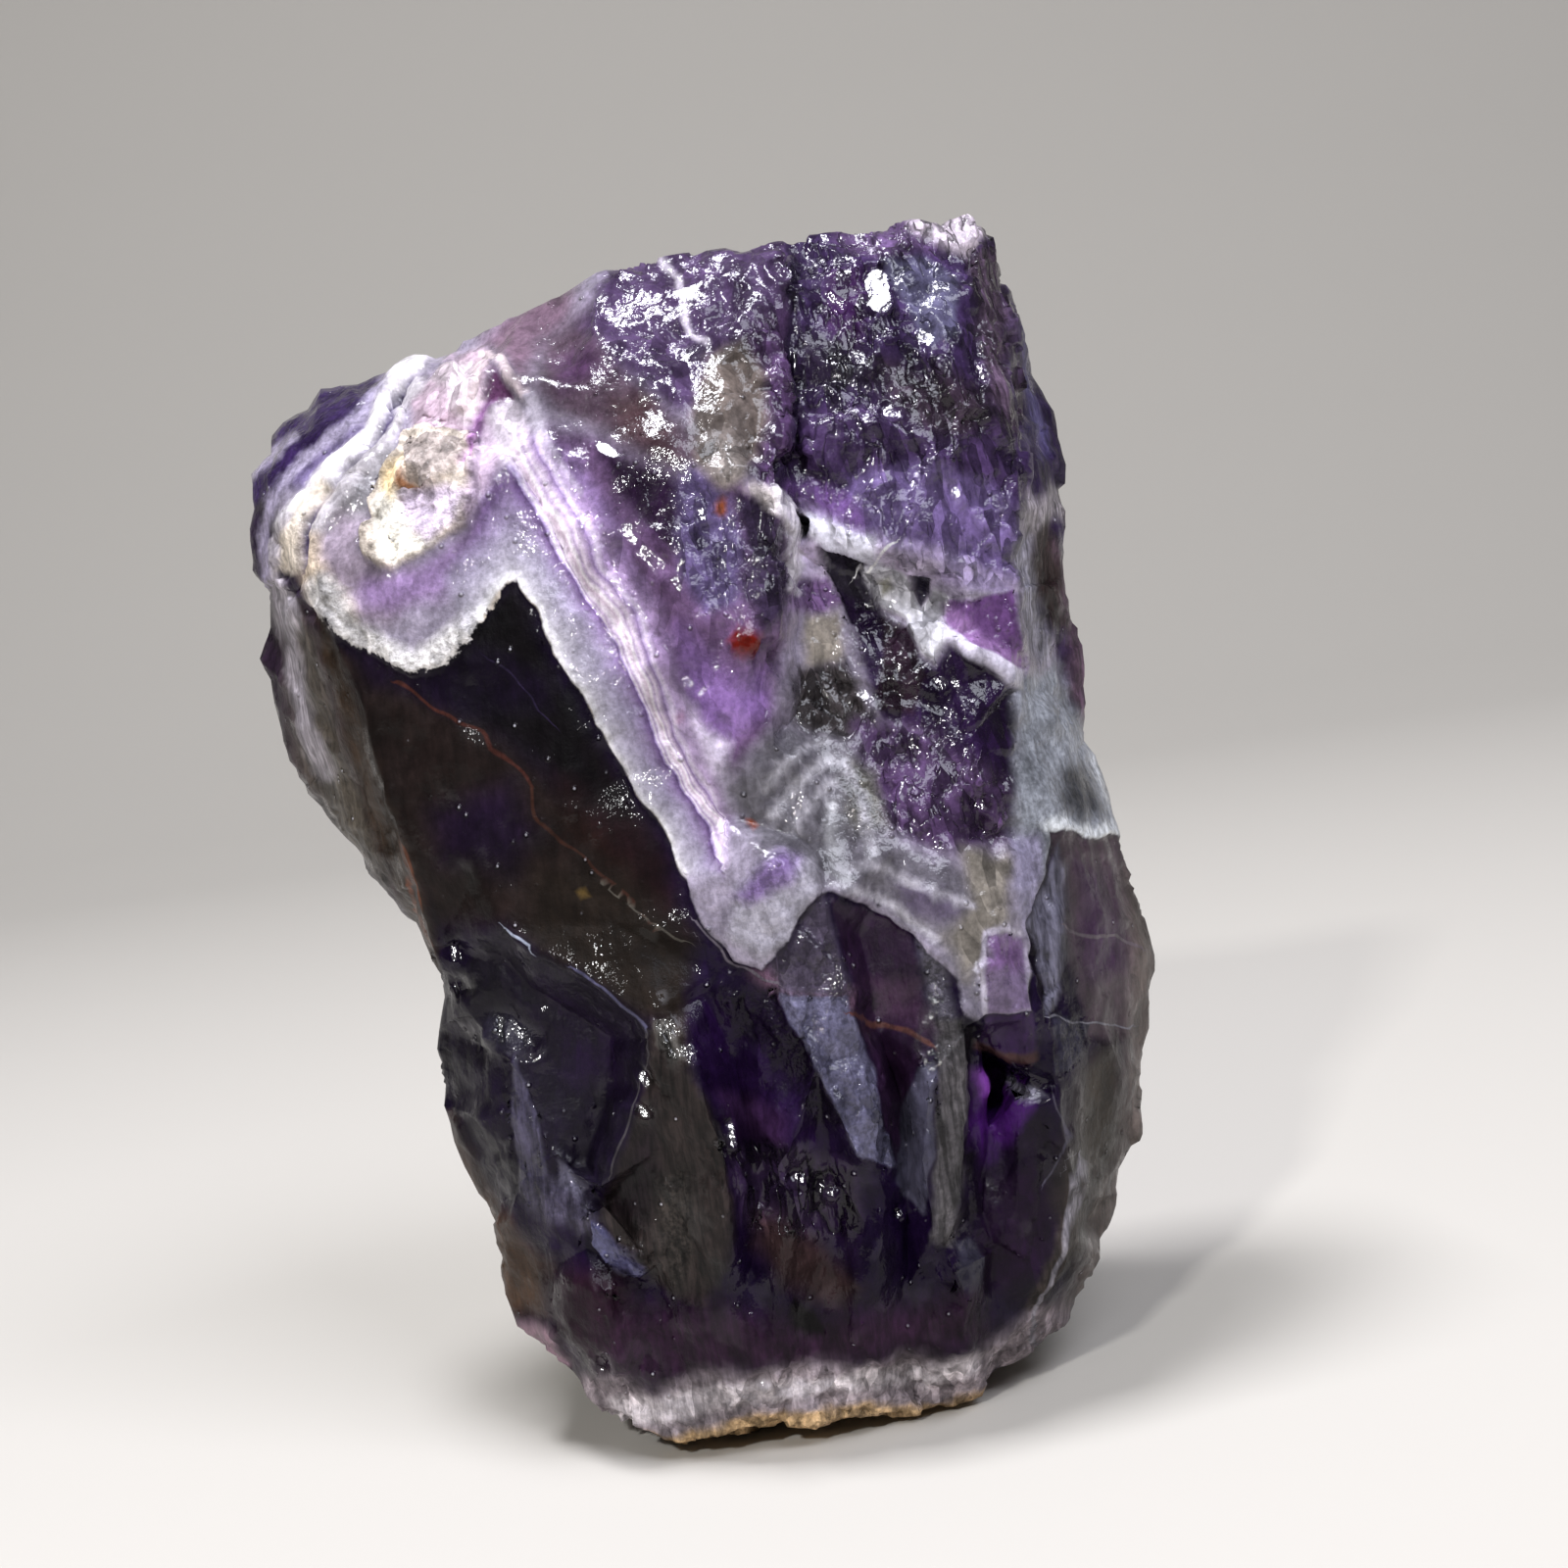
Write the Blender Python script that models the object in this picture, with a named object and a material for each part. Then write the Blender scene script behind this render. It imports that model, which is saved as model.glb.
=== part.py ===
"""A rough chunk of chevron amethyst that stands on its flat growth base.

The stone is sketched as it is seen from in front. A sketch point is (u, v, w): millimetres to the
right of the line of sight, millimetres above it, and millimetres towards the eye from the stone's
middle plane. The eye is near, so a point that stands forward is drawn in towards the line of sight.
Two sheets, the broken front and the hidden back, meet along the outline and close the solid.
"""

import math

import bmesh
import bpy
import numpy as np
from mathutils import Vector, noise
from mathutils.geometry import delaunay_2d_cdt

MM = 0.001

# The eye and the way the stone is held in the sketch
EYE_DISTANCE = 200.0
LEAN_DEG = 8.3
EYE_ELEVATION_DEG = 6.0
FOOT = Vector((2.4, -44.3, -5.0))

# Mesh fineness, in mm
FRONT_SPACING = 1.9
BACK_SPACING = 3.2
RIDGE_SPACING = 1.6
EDGE_SPACING = 2.2
FRONT_LONGEST_EDGE = 3.2
BACK_LONGEST_EDGE = 4.2
MERGE = 0.02
# Shares of the spacing: how far a grid point may stray, and how near it may come to an edge
GRID_JITTER = 0.28
GRID_CLEARANCE = 0.62
# Ahead of this depth, in mm in the stone's frame, the surface counts as the seen front
FRONT_BACK_LINE = 4.0

# The outline, clockwise from the top right corner
OUTLINE = [
    # Right flank, from the top corner down to the foot
    (13.0, 40.3, -1), (14.4, 39.2, -2), (15.1, 37.1, -6), (16.5, 35.0, -9), (17.9, 29.4, -10),
    (18.9, 25.2, -9), (20.3, 21.7, -9), (20.5, 19.6, -8), (19.8, 14.7, -7), (20.7, 11.2, -7),
    (21.5, 5.6, -7), (22.4, 2.1, -6), (24.0, -3.5, -5), (24.9, -7.0, -5), (26.3, -9.8, -5),
    (26.9, -13.3, -5), (26.5, -17.5, -4), (26.4, -20.7, -4), (25.4, -24.5, -3), (24.3, -27.7, -3),
    (23.9, -30.8, -3), (22.8, -32.6, -2), (21.8, -35.0, -1), (20.0, -38.5, 0), (17.5, -41.0, 2),
    # Front edge of the foot
    (14.0, -43.7, 4), (10.5, -44.6, 5), (7.0, -45.3, 7), (3.5, -45.9, 8), (0.0, -46.2, 8),
    (-4.2, -46.8, 8), (-7.7, -47.2, 7), (-11.2, -45.6, 5), (-14.0, -43.8, 3), (-16.5, -41.7, 1),
    # Left flank, from the foot up to the shoulder
    (-18.6, -39.6, 0), (-19.7, -36.4, -1), (-21.1, -31.5, -2), (-22.8, -27.3, -3), (-24.4, -23.1, -3),
    (-24.8, -17.5, -3), (-24.9, -14.0, -4), (-26.6, -10.2, -6), (-30.5, -4.9, -8), (-34.7, 0.4, -9),
    (-36.5, 4.2, -10), (-37.7, 8.8, -10), (-37.2, 11.2, -10), (-38.3, 16.8, -10), (-39.0, 21.0, -10),
    # Rounded shoulder and the rim that climbs to the top corner
    (-38.6, 22.4, -10), (-36.8, 25.2, -10), (-34.3, 27.3, -10), (-31.5, 28.0, -9), (-29.1, 28.7, -8),
    (-26.3, 30.1, -7), (-23.8, 31.0, -6), (-21.0, 32.6, -4), (-18.2, 33.6, -3), (-16.1, 34.7, -2),
    (-13.3, 36.4, -1), (-9.5, 37.3, -1), (-5.6, 37.9, 0), (-0.7, 38.6, 0), (2.8, 39.4, 0),
    (7.0, 39.8, 0), (10.5, 39.9, 0),
]

# Sharp lines of the broken front, each a run of sketch points
FRONT_RIDGES = {
    "left arris": [
        (-20.7, 31.5, -2.5), (-25.9, 26.6, 0.5), (-29.8, 22.4, 2.5), (-34.2, 16.8, 2.5),
        (-32.6, 11.2, 4.5), (-30.2, 5.6, 5.5), (-28.1, -1.4, 6.0), (-26.3, -7.0, 5.5),
        (-25.0, -11.6, 3.5), (-24.0, -16.8, 1.5),
    ],
    "right arris": [
        (14.0, 37.4, 1.0), (14.9, 33.5, 2.5), (15.8, 28.0, 4.0), (16.5, 19.6, 5.5), (16.8, 14.0, 6.0),
        (16.6, 7.0, 7.0), (16.6, 2.0, 8.0), (17.2, -3.5, 8.5), (17.5, -10.5, 9.5), (19.0, -17.5, 10.0),
        (19.5, -22.4, 9.5), (20.7, -28.7, 8.0), (20.3, -34.3, 7.0), (18.4, -38.5, 5.5),
    ],
    "proud lip of the chevron face": [
        (0.0, 36.5, 4.5), (0.2, 31.5, 6.5), (-0.4, 26.0, 9.0), (-0.4, 22.4, 11.5), (-0.3, 16.8, 12.5),
        (-0.4, 10.5, 13.0), (-0.7, 2.8, 12.5), (-2.0, -1.0, 12.0),
    ],
    "step below the lip": [
        (1.0, 36.2, 3.2), (1.2, 31.5, 5.0), (1.0, 26.6, 6.8), (0.9, 21.0, 7.5), (1.0, 16.8, 6.5),
        (0.9, 10.5, 8.0), (0.7, 5.0, 9.0),
    ],
    "shelf under the right block": [
        (2.3, 18.0, 7.5), (7.0, 17.0, 9.6), (11.5, 15.4, 9.2), (15.6, 15.6, 7.2),
    ],
    "recess under the shelf": [
        (2.1, 15.8, 5.6), (6.2, 14.4, 5.8), (10.6, 13.2, 6.6),
    ],
    "white tooth": [
        (13.2, 13.4, 8.6), (12.0, 10.4, 8.8), (16.2, 7.6, 8.2),
    ],
    "edge of the scooped crystal": [
        (-20.0, -10.4, 9.5), (-17.9, -12.3, 10.8), (-14.7, -13.7, 11.8), (-10.5, -16.6, 13.0),
        (-9.6, -18.2, 13.0), (-10.2, -20.7, 12.6), (-11.2, -23.1, 12.0), (-12.3, -26.6, 11.0),
        (-13.0, -28.7, 10.4),
    ],
    "floor of the scoop": [
        (-20.4, -12.4, 6.0), (-17.2, -15.2, 6.4), (-12.6, -18.2, 7.2), (-12.9, -22.8, 6.8),
        (-14.4, -27.0, 6.6),
    ],
    "spike facet, left side": [(-19.4, -20.0, 6.6), (-18.9, -24.0, 6.4), (-18.6, -28.0, 5.6)],
    "spike facet, right side": [(-19.4, -20.0, 6.6), (-17.0, -25.6, 7.2), (-15.6, -27.6, 7.4), (-13.0, -30.0, 8.0)],
    "sky facet, upper edge": [(-14.4, -31.0, 8.2), (-13.0, -30.2, 9.4), (-10.0, -33.4, 9.6)],
    "sky facet, lower edge": [(-14.0, -33.2, 7.4), (-10.6, -35.6, 8.2)],
    "smoky column, crest": [
        (-8.6, -16.2, 13.4), (-6.4, -19.0, 14.6), (-5.2, -23.8, 15.0), (-4.2, -26.6, 14.6),
        (-4.0, -32.0, 13.4), (-4.4, -37.1, 11.4),
    ],
    "groove right of the smoky column": [
        (-5.6, -15.0, 12.0), (-3.9, -18.6, 11.8), (-2.6, -23.0, 11.4), (-1.8, -29.0, 11.2), (-2.4, -36.0, 10.8),
    ],
    "blade, left side": [
        (0.0, -14.0, 14.6), (2.1, -20.3, 15.4), (5.3, -26.6, 15.6),
    ],
    "blade, right side": [
        (3.5, -8.4, 14.0), (4.9, -16.8, 14.6), (7.4, -24.5, 14.2), (7.8, -27.3, 13.2),
    ],
    "floor right of the blade": [
        (5.6, -11.0, 11.4), (6.8, -17.5, 10.8), (8.6, -23.0, 10.6), (9.0, -29.0, 10.8),
    ],
    "grey column, left edge": [
        (9.4, -19.0, 13.0), (10.2, -22.0, 14.2), (9.9, -27.0, 14.4), (10.6, -32.6, 13.0),
    ],
    "grey column, right edge": [
        (11.6, -13.0, 12.6), (13.0, -17.5, 12.8), (13.3, -24.5, 12.4), (12.8, -30.0, 12.2), (11.4, -33.3, 11.8),
    ],
    "violet pocket": [
        (14.2, -18.6, 9.4), (14.6, -24.5, 8.2), (14.2, -30.8, 8.4),
    ],
    "violet pocket, upper ledge": [(14.4, -17.0, 11.4), (17.2, -16.8, 11.2)],
    "brow over the pocket": [(14.2, -20.6, 9.4), (17.6, -21.0, 9.8)],
    "white tongue": [
        (-7.0, -7.2, 12.2), (-4.6, -11.6, 13.2), (-2.8, -12.9, 13.6), (0.2, -10.4, 14.4), (2.6, -8.6, 14.2),
    ],
    "right block facets": [(20.1, -3.6, 6.5), (19.6, -9.8, 7.6), (20.4, -16.8, 7.2)],
    "foot crystals, left crest": [(-13.4, -36.4, 9.4), (-12.2, -39.4, 8.8), (-11.4, -42.6, 7.6)],
    "foot crystals, left valley": [(-9.2, -36.0, 8.6), (-8.2, -38.8, 8.8), (-7.6, -42.4, 8.6)],
    "foot crystals, middle crest": [(0.0, -27.7, 15.0), (0.4, -31.5, 14.2), (-0.7, -39.9, 12.0)],
    "foot crystals, middle valley": [(3.3, -28.0, 12.6), (3.4, -32.2, 11.2), (2.1, -40.6, 10.2)],
    "foot crystals, crest under the blade": [(7.2, -29.6, 13.6), (6.3, -34.3, 13.2), (4.9, -41.0, 11.2)],
    "foot crystals, right valley": [(8.9, -31.6, 10.8), (8.6, -36.4, 10.0), (8.6, -40.8, 9.2)],
    "foot crystals, right crest": [(12.3, -34.8, 12.4), (13.0, -37.2, 11.2), (12.4, -41.4, 9.2)],
    "foot crystals, outer valley": [(15.2, -33.4, 8.4), (15.6, -37.0, 7.6), (15.2, -40.4, 6.4)],
    "seam on the left flank": [
        (-37.0, 19.6, -5.0), (-36.0, 12.6, -4.6), (-34.3, 5.6, -3.8), (-31.6, -1.4, -2.6), (-28.0, -7.6, -1.6),
    ],
    "stripe groove of the right limb": [
        (-19.5, 23.4, 6.6), (-15.4, 16.1, 9.6), (-11.6, 9.1, 11.2), (-7.4, 1.8, 11.8), (-4.6, -2.6, 11.8),
    ],
}

# Single sketch points that swell or sink the front between its ridges
FRONT_SPOTS = [
    # Chevron face
    (-26.6, 14.0, 7.2), (-19.4, 14.0, 9.6), (-19.7, 23.1, 7.4), (-20.7, 29.4, 3.6), (-14.0, 28.0, 6.8),
    (-14.0, 16.8, 10.9), (-14.0, 7.0, 11.7), (-23.1, 3.5, 9.0), (-16.8, -1.4, 11.0), (-10.5, -3.5, 12.0),
    (-7.0, 14.0, 12.8), (-7.0, 22.4, 11.0), (-3.6, 32.9, 6.6), (-7.0, 28.0, 8.8), (-12.6, 34.2, 2.4),
    (-2.8, 10.5, 13.8), (-4.9, 2.1, 12.9), (-7.0, -4.2, 12.1), (-0.9, -5.6, 14.6), (-2.4, -2.9, 11.6),
    (-22.0, -6.0, 8.6), (-12.0, -10.0, 11.4), (-5.0, -13.5, 12.4), (-28.5, 20.0, 3.6), (-24.5, 22.0, 6.0),
    # Left shoulder and flank
    (-35.0, 24.6, -6.0), (-32.2, 25.4, -3.4), (-28.6, 26.6, -1.2), (-36.8, 22.0, -5.6),
    # Right block
    (7.0, 37.4, 3.0), (7.4, 32.0, 6.2), (6.6, 26.0, 8.6), (11.6, 29.0, 6.8), (10.6, 22.0, 9.0), (13.6, 35.4, 3.0),
    # Hollow between the lip and the right arris
    (3.5, 9.8, 7.0), (7.4, 10.6, 6.8), (9.6, 7.2, 8.2), (5.4, 4.6, 9.4), (12.8, 3.6, 9.6), (8.4, 0.4, 10.4),
    (3.4, 0.0, 11.2), (2.1, -4.4, 12.4), (7.8, -4.8, 12.2), (12.8, -2.4, 11.0), (11.0, -9.6, 12.6), (14.8, -7.8, 11.2),
    (15.0, -12.6, 11.8),
    # Foot of the crystals
    (-22.4, -16.8, 4.6), (-18.2, -16.6, 6.6), (-21.6, -24.0, 3.6), (-19.8, -31.5, 3.6), (-16.6, -34.6, 5.0),
    (-7.4, -33.0, 10.8), (-8.6, -26.0, 12.0), (-1.0, -20.0, 13.4),
    (3.4, -43.4, 9.8), (-3.6, -43.6, 10.0), (16.4, -30.6, 9.0), (16.9, -24.6, 9.2), (-16.2, -39.2, 4.0),
    # Right flank
    (18.2, 24.5, -3.0), (19.2, 14.0, -0.6), (20.1, 3.4, 1.0), (22.8, -9.4, 3.0), (23.4, -19.0, 3.0), (22.2, -26.4, 3.0),
    (17.0, 32.0, -4.6),
]

# The hidden back: long splintered ribs with hollows between them, each a run of sketch points
BACK_RIDGES = {
    "tall rib": [
        (-9.0, 35.6, -9.0), (-10.0, 32.0, -16.0), (-11.4, 19.0, -22.5), (-12.0, 3.0, -26.5), (-9.0, -12.0, -27.5),
        (-7.0, -26.0, -26.5), (-6.0, -37.0, -25.0), (-5.4, -44.6, -22.0),
    ],
    "hollow beside the tall rib": [
        (-3.0, 36.4, -7.0), (-2.4, 32.0, -12.0), (-1.4, 16.0, -18.5), (-1.0, 0.0, -22.0), (0.6, -14.0, -23.0),
        (1.4, -28.0, -23.0), (1.0, -42.0, -22.0),
    ],
    "blunt rib": [
        (8.4, 38.0, -7.5), (9.0, 33.0, -14.5), (9.8, 18.0, -19.5), (11.6, 2.0, -22.5), (13.2, -12.0, -25.0),
        (12.4, -25.0, -24.5), (10.6, -36.0, -22.5), (9.0, -42.6, -18.0),
    ],
    "cross step": [
        (-28.0, 8.0, -19.0), (-22.0, 4.0, -22.0), (-12.0, 3.0, -26.5),
    ],
    "cross step, foot": [
        (-27.0, 5.0, -17.0), (-21.0, 0.4, -20.2), (-13.0, -1.4, -24.2),
    ],
    "right step": [(11.6, 2.0, -22.5), (17.6, 0.0, -18.0), (21.0, 0.6, -12.0)],
    "right step, foot": [(12.6, -1.4, -20.8), (18.0, -2.6, -16.4), (21.6, -1.8, -10.6)],
}
BACK_SPOTS = [
    (-25.0, 25.0, -18.0), (-32.6, 18.0, -18.5), (-18.0, 14.0, -22.5), (-17.0, 30.4, -13.5), (-33.4, 6.0, -16.0),
    (-20.0, -10.0, -23.0), (-25.0, -6.0, -18.0), (-19.6, -24.0, -21.0), (-15.4, -38.0, -17.0), (-22.4, -20.0, -15.5),
    (3.6, 20.0, -16.5), (4.4, -6.0, -23.0), (5.4, -20.0, -23.0), (16.0, 26.0, -15.5), (18.2, 10.0, -17.0),
    (22.8, -10.0, -17.5), (23.6, -20.0, -15.5), (19.8, -32.0, -15.5), (16.4, -38.4, -11.0), (3.0, 38.0, -4.5),
    (-32.2, 25.4, -14.0), (13.2, 37.2, -8.0), (-9.4, -44.8, -14.0), (-16.6, -34.0, -18.0), (3.0, -44.6, -14.0),
]

# Chips: small flat breaks that tilt at random. Size and depth in mm, and how far each is drawn out
# along the growth of the crystals
CHIPS = [
    {"size": 6.0, "depth": 0.85, "stretch": 1.9, "seed": 3.1},
    {"size": 3.6, "depth": 0.55, "stretch": 1.4, "seed": 8.6},
]
# Places where the break is hackly: (u, v, radius, share of the chips' full depth). Elsewhere it is calm
HACKLY = [
    (9.0, 28.0, 12.0, 1.0), (12.0, 12.0, 8.0, 1.0), (5.0, 5.0, 8.0, 1.0), (-4.0, 30.0, 9.0, 0.7),
    (-29.0, 23.0, 6.0, 0.8), (10.0, -34.0, 10.0, 0.6), (-10.0, -38.0, 8.0, 0.6), (20.0, -12.0, 6.0, 0.6),
    (18.0, 26.0, 6.0, 0.5), (21.0, 5.0, 6.0, 0.5), (25.0, -18.0, 6.0, 0.5), (23.0, -32.0, 6.0, 0.5),
    (-36.0, 14.0, 7.0, 0.5), (-32.0, -2.0, 6.0, 0.5), (-25.0, -16.0, 5.0, 0.5), (-21.0, -34.0, 7.0, 0.5),
]
CALM_SHARE = 0.16
# How strongly a chip tilts, and how far it lies above or below the next, as shares of its depth
CHIP_TILT = 2.2
CHIP_LIFT = 0.6
# Cell seeds are scaled by these before they pick a chip's tilt and lift, so that the two differ
TILT_PICK = 61.7
LIFT_PICK = 37.3
JITTER_PICK = 3.7
# The hidden back is hackly all over. It starts behind the first of these depths in the stone's frame
# and is fully so behind the second
BACK_SHARE = 1.0
BACK_REACH = (7.0, 12.0)
# A slow uneven shift of every edge, in mm
WAVER = {"depth": 0.35, "size": 3.2}
NOISE_SEED = 7
STONE_PURPLE = (0.060, 0.022, 0.105, 1.0)


def clear_scene():
    for obj in list(bpy.data.objects):
        bpy.data.objects.remove(obj, do_unlink=True)


def sketch_axes():
    """The sketch's right, up and towards-the-eye directions in the standing stone's frame."""
    lean, rise = math.radians(LEAN_DEG), math.radians(EYE_ELEVATION_DEG)
    to_eye = Vector((0.0, -math.cos(rise), math.sin(rise)))
    up = Vector((0.0, math.sin(rise), math.cos(rise)))
    side = Vector((1.0, 0.0, 0.0))
    right = side * math.cos(lean) - up * math.sin(lean)
    above = side * math.sin(lean) + up * math.cos(lean)
    return right, above, to_eye


RIGHT, ABOVE, TO_EYE = sketch_axes()


def stand(point):
    """A point (u, v, w) of the sketch's space, already spread for perspective, in the stone's frame, in mm."""
    moved = point - FOOT
    return RIGHT * moved.x + ABOVE * moved.y + TO_EYE * moved.z


def place(u, v, w):
    """A sketch point where it really lies: nearer points are drawn in towards the line of sight."""
    spread = (EYE_DISTANCE - w) / EYE_DISTANCE
    return stand(Vector((u * spread, v * spread, w)))


def subdivided(run, spacing, loop=False):
    """The points of a run with extra ones between them, so that no gap is wider than the spacing."""
    points = [Vector(p) for p in run]
    ends = points[1:] + (points[:1] if loop else [])
    out = []
    for start, end in zip(points, ends):
        steps = max(1, math.ceil((end - start).xy.length / spacing))
        out += [start.lerp(end, i / steps) for i in range(steps)]
    return out if loop else out + [points[-1]]


def triangulated(points, runs, ring_length):
    """Delaunay triangles of flat points, with the outline ring and each run kept as edges."""
    edges = [(i, (i + 1) % ring_length) for i in range(ring_length)]
    for first, last in runs:
        edges += [(i, i + 1) for i in range(first, last)]
    flat = [Vector((p.x, p.y)) for p in points]
    verts, _, faces, origins, _, _ = delaunay_2d_cdt(flat, edges, [], 1, 1e-5)
    heights = [points[o[0]].z if o else None for o in origins]
    return verts, faces, heights


def with_runs(ring, ridges, spacing=None):
    """One list of points, the outline first and then every ridge, and the span of each ridge in it."""
    points, spans = list(ring), []
    for run in ridges:
        dense = subdivided(run, spacing) if spacing else [Vector(p) for p in run]
        spans.append((len(points), len(points) + len(dense) - 1))
        points += dense
    return points, spans


def flat_facets(ring, ridges, spots):
    """Flat facets through every landmark: their corners (u, v, w) and their triangles."""
    points, spans = with_runs(ring, ridges)
    points += [Vector(p) for p in spots]
    verts, faces, heights = triangulated(points, spans, len(ring))
    corners = [Vector((v.x, v.y, h if h is not None else 0.0)) for v, h in zip(verts, heights)]
    return corners, faces


def depth_reader(corners, faces):
    """A function that gives the depth w at (u, v), and how far inside the sheet that place is."""
    triangles = np.array([[corners[i][:] for i in f] for f in faces])
    a, b, c = triangles[:, 0], triangles[:, 1], triangles[:, 2]
    area = (b[:, 0] - a[:, 0]) * (c[:, 1] - a[:, 1]) - (c[:, 0] - a[:, 0]) * (b[:, 1] - a[:, 1])

    def depth(u, v):
        beta = ((u - a[:, 0]) * (c[:, 1] - a[:, 1]) - (c[:, 0] - a[:, 0]) * (v - a[:, 1])) / area
        gamma = ((b[:, 0] - a[:, 0]) * (v - a[:, 1]) - (u - a[:, 0]) * (b[:, 1] - a[:, 1])) / area
        shares = np.stack([1 - beta - gamma, beta, gamma], axis=1)
        inside = int(np.argmax(shares.min(axis=1)))
        return float(np.clip(shares[inside], 0, 1) @ triangles[inside, :, 2]), float(shares[inside].min())

    return depth


def sheet(outline, ridges, spots, spacing):
    """One side of the stone: points (u, v, w) along every facet's edges and between them, and its triangles."""
    corners, facets = flat_facets([Vector(p) for p in outline], ridges, spots)
    depth = depth_reader(corners, facets)
    ring = subdivided(outline, RIDGE_SPACING, loop=True)
    outline_edges = {frozenset((i, (i + 1) % len(outline))) for i in range(len(outline))}
    facet_edges = {frozenset(pair) for f in facets for pair in zip(f, f[1:] + f[:1])} - outline_edges
    runs = [[corners[i] for i in sorted(edge)] for edge in sorted(facet_edges, key=sorted)]
    points, spans = with_runs(ring, runs, EDGE_SPACING)
    taken = [p.xy for p in points]
    low = Vector((min(p.x for p in ring), min(p.y for p in ring)))
    high = Vector((max(p.x for p in ring), max(p.y for p in ring)))
    row_height = spacing * math.sqrt(3) / 2
    for row in range(int((high.y - low.y) / row_height) + 1):
        for column in range(int((high.x - low.x) / spacing) + 1):
            u = low.x + (column + 0.5 * (row % 2)) * spacing
            v = low.y + row * row_height
            shift = noise.cell_vector(Vector((u * JITTER_PICK, v * JITTER_PICK, spacing)))
            u += (shift.x - 0.5) * 2 * GRID_JITTER * spacing
            v += (shift.y - 0.5) * 2 * GRID_JITTER * spacing
            here = Vector((u, v))
            if min((here - p).length_squared for p in taken) < (GRID_CLEARANCE * spacing) ** 2:
                continue
            w, share = depth(u, v)
            if share > 0.0:
                points.append(Vector((u, v, w)))
    verts, faces, heights = triangulated(points, spans, len(ring))
    made = []
    for vert, height in zip(verts, heights):
        w = height if height is not None else depth(vert.x, vert.y)[0]
        made.append((vert.x, vert.y, w))
    return made, faces


def chip_depth(place_mm, share):
    """How far the small flat breaks push the surface in or out at a point, in mm."""
    total = 0.0
    for chips in CHIPS:
        drawn = Vector((place_mm.x, place_mm.y, place_mm.z / chips["stretch"])) / chips["size"]
        drawn += Vector((chips["seed"], -chips["seed"], 0.5 * chips["seed"]))
        seed = noise.voronoi(drawn)[1][0]
        tilt = noise.cell_vector(seed * TILT_PICK) - Vector((0.5, 0.5, 0.5))
        lift = noise.cell(seed * LIFT_PICK) - 0.5
        total += chips["depth"] * ((drawn - seed).dot(tilt) * CHIP_TILT + CHIP_LIFT * lift)
    return total * share


def chip_share(point_mm):
    """How hackly the break is at a point: 1 keeps the chips' full depth."""
    u, v = sketch_of(point_mm)
    behind = (point_mm.y - BACK_REACH[0]) / (BACK_REACH[1] - BACK_REACH[0])
    share = CALM_SHARE + (BACK_SHARE - CALM_SHARE) * min(1.0, max(0.0, behind))
    for cu, cv, radius, full in HACKLY:
        reach = math.hypot(u - cu, v - cv) / radius
        if reach < 1.0:
            share = max(share, full + (CALM_SHARE - full) * reach**3)
    return share


def split_long_edges(bm, front_longest, back_longest, rounds=3):
    """Halves the edges that are still long where the sheets turn steeply away."""
    for _ in range(rounds):
        long_edges = []
        for edge in bm.edges:
            middle_y = (edge.verts[0].co.y + edge.verts[1].co.y) / 2
            longest = front_longest if middle_y < FRONT_BACK_LINE else back_longest
            if edge.calc_length() > longest:
                long_edges.append(edge)
        if not long_edges:
            break
        bmesh.ops.subdivide_edges(bm, edges=long_edges, cuts=1)
        bmesh.ops.triangulate(bm, faces=bm.faces[:])


def sketch_of(point_mm):
    """The sketch's (u, v) of a point of the standing stone."""
    moved = FOOT + Vector((point_mm.dot(RIGHT), point_mm.dot(ABOVE), point_mm.dot(TO_EYE)))
    spread = (EYE_DISTANCE - moved.z) / EYE_DISTANCE
    return moved.x / spread, moved.y / spread


def stone_mesh():
    bm = bmesh.new()
    sides = [
        (FRONT_RIDGES, FRONT_SPOTS, FRONT_SPACING, False),
        (BACK_RIDGES, BACK_SPOTS, BACK_SPACING, True),
    ]
    shared = {}
    for ridges, spots, spacing, is_back in sides:
        points, faces = sheet(OUTLINE, list(ridges.values()), spots, spacing)
        verts = []
        for point in points:
            spot = tuple(round(x / MERGE) for x in point)
            if spot not in shared:
                shared[spot] = bm.verts.new(place(*point))
            verts.append(shared[spot])
        for face in faces:
            order = reversed(face) if is_back else face
            bm.faces.new([verts[i] for i in order])
    split_long_edges(bm, FRONT_LONGEST_EDGE, BACK_LONGEST_EDGE)
    bmesh.ops.recalc_face_normals(bm, faces=bm.faces[:])
    bm.normal_update()
    moves = []
    for vert in bm.verts:
        push = chip_depth(vert.co, chip_share(vert.co))
        waver = noise.noise_vector(vert.co / WAVER["size"]) * WAVER["depth"]
        moves.append((vert, vert.normal * push + waver))
    for vert, move in moves:
        vert.co += move
    cut_foot(bm)
    return bm


def cut_foot(bm):
    """Cuts the growth base flat and closes it with one level face."""
    lowest = min(v.co.z for v in bm.verts)
    print(f"lowest point before the foot is cut: {lowest:.2f} mm")
    geometry = bm.verts[:] + bm.edges[:] + bm.faces[:]
    bmesh.ops.bisect_plane(bm, geom=geometry, dist=1e-4, plane_co=(0, 0, 0), plane_no=(0, 0, 1), clear_inner=True)
    rim = [e for e in bm.edges if e.is_boundary]
    bmesh.ops.holes_fill(bm, edges=rim, sides=0)
    bmesh.ops.triangulate(bm, faces=bm.faces[:])
    bmesh.ops.recalc_face_normals(bm, faces=bm.faces[:])


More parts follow.
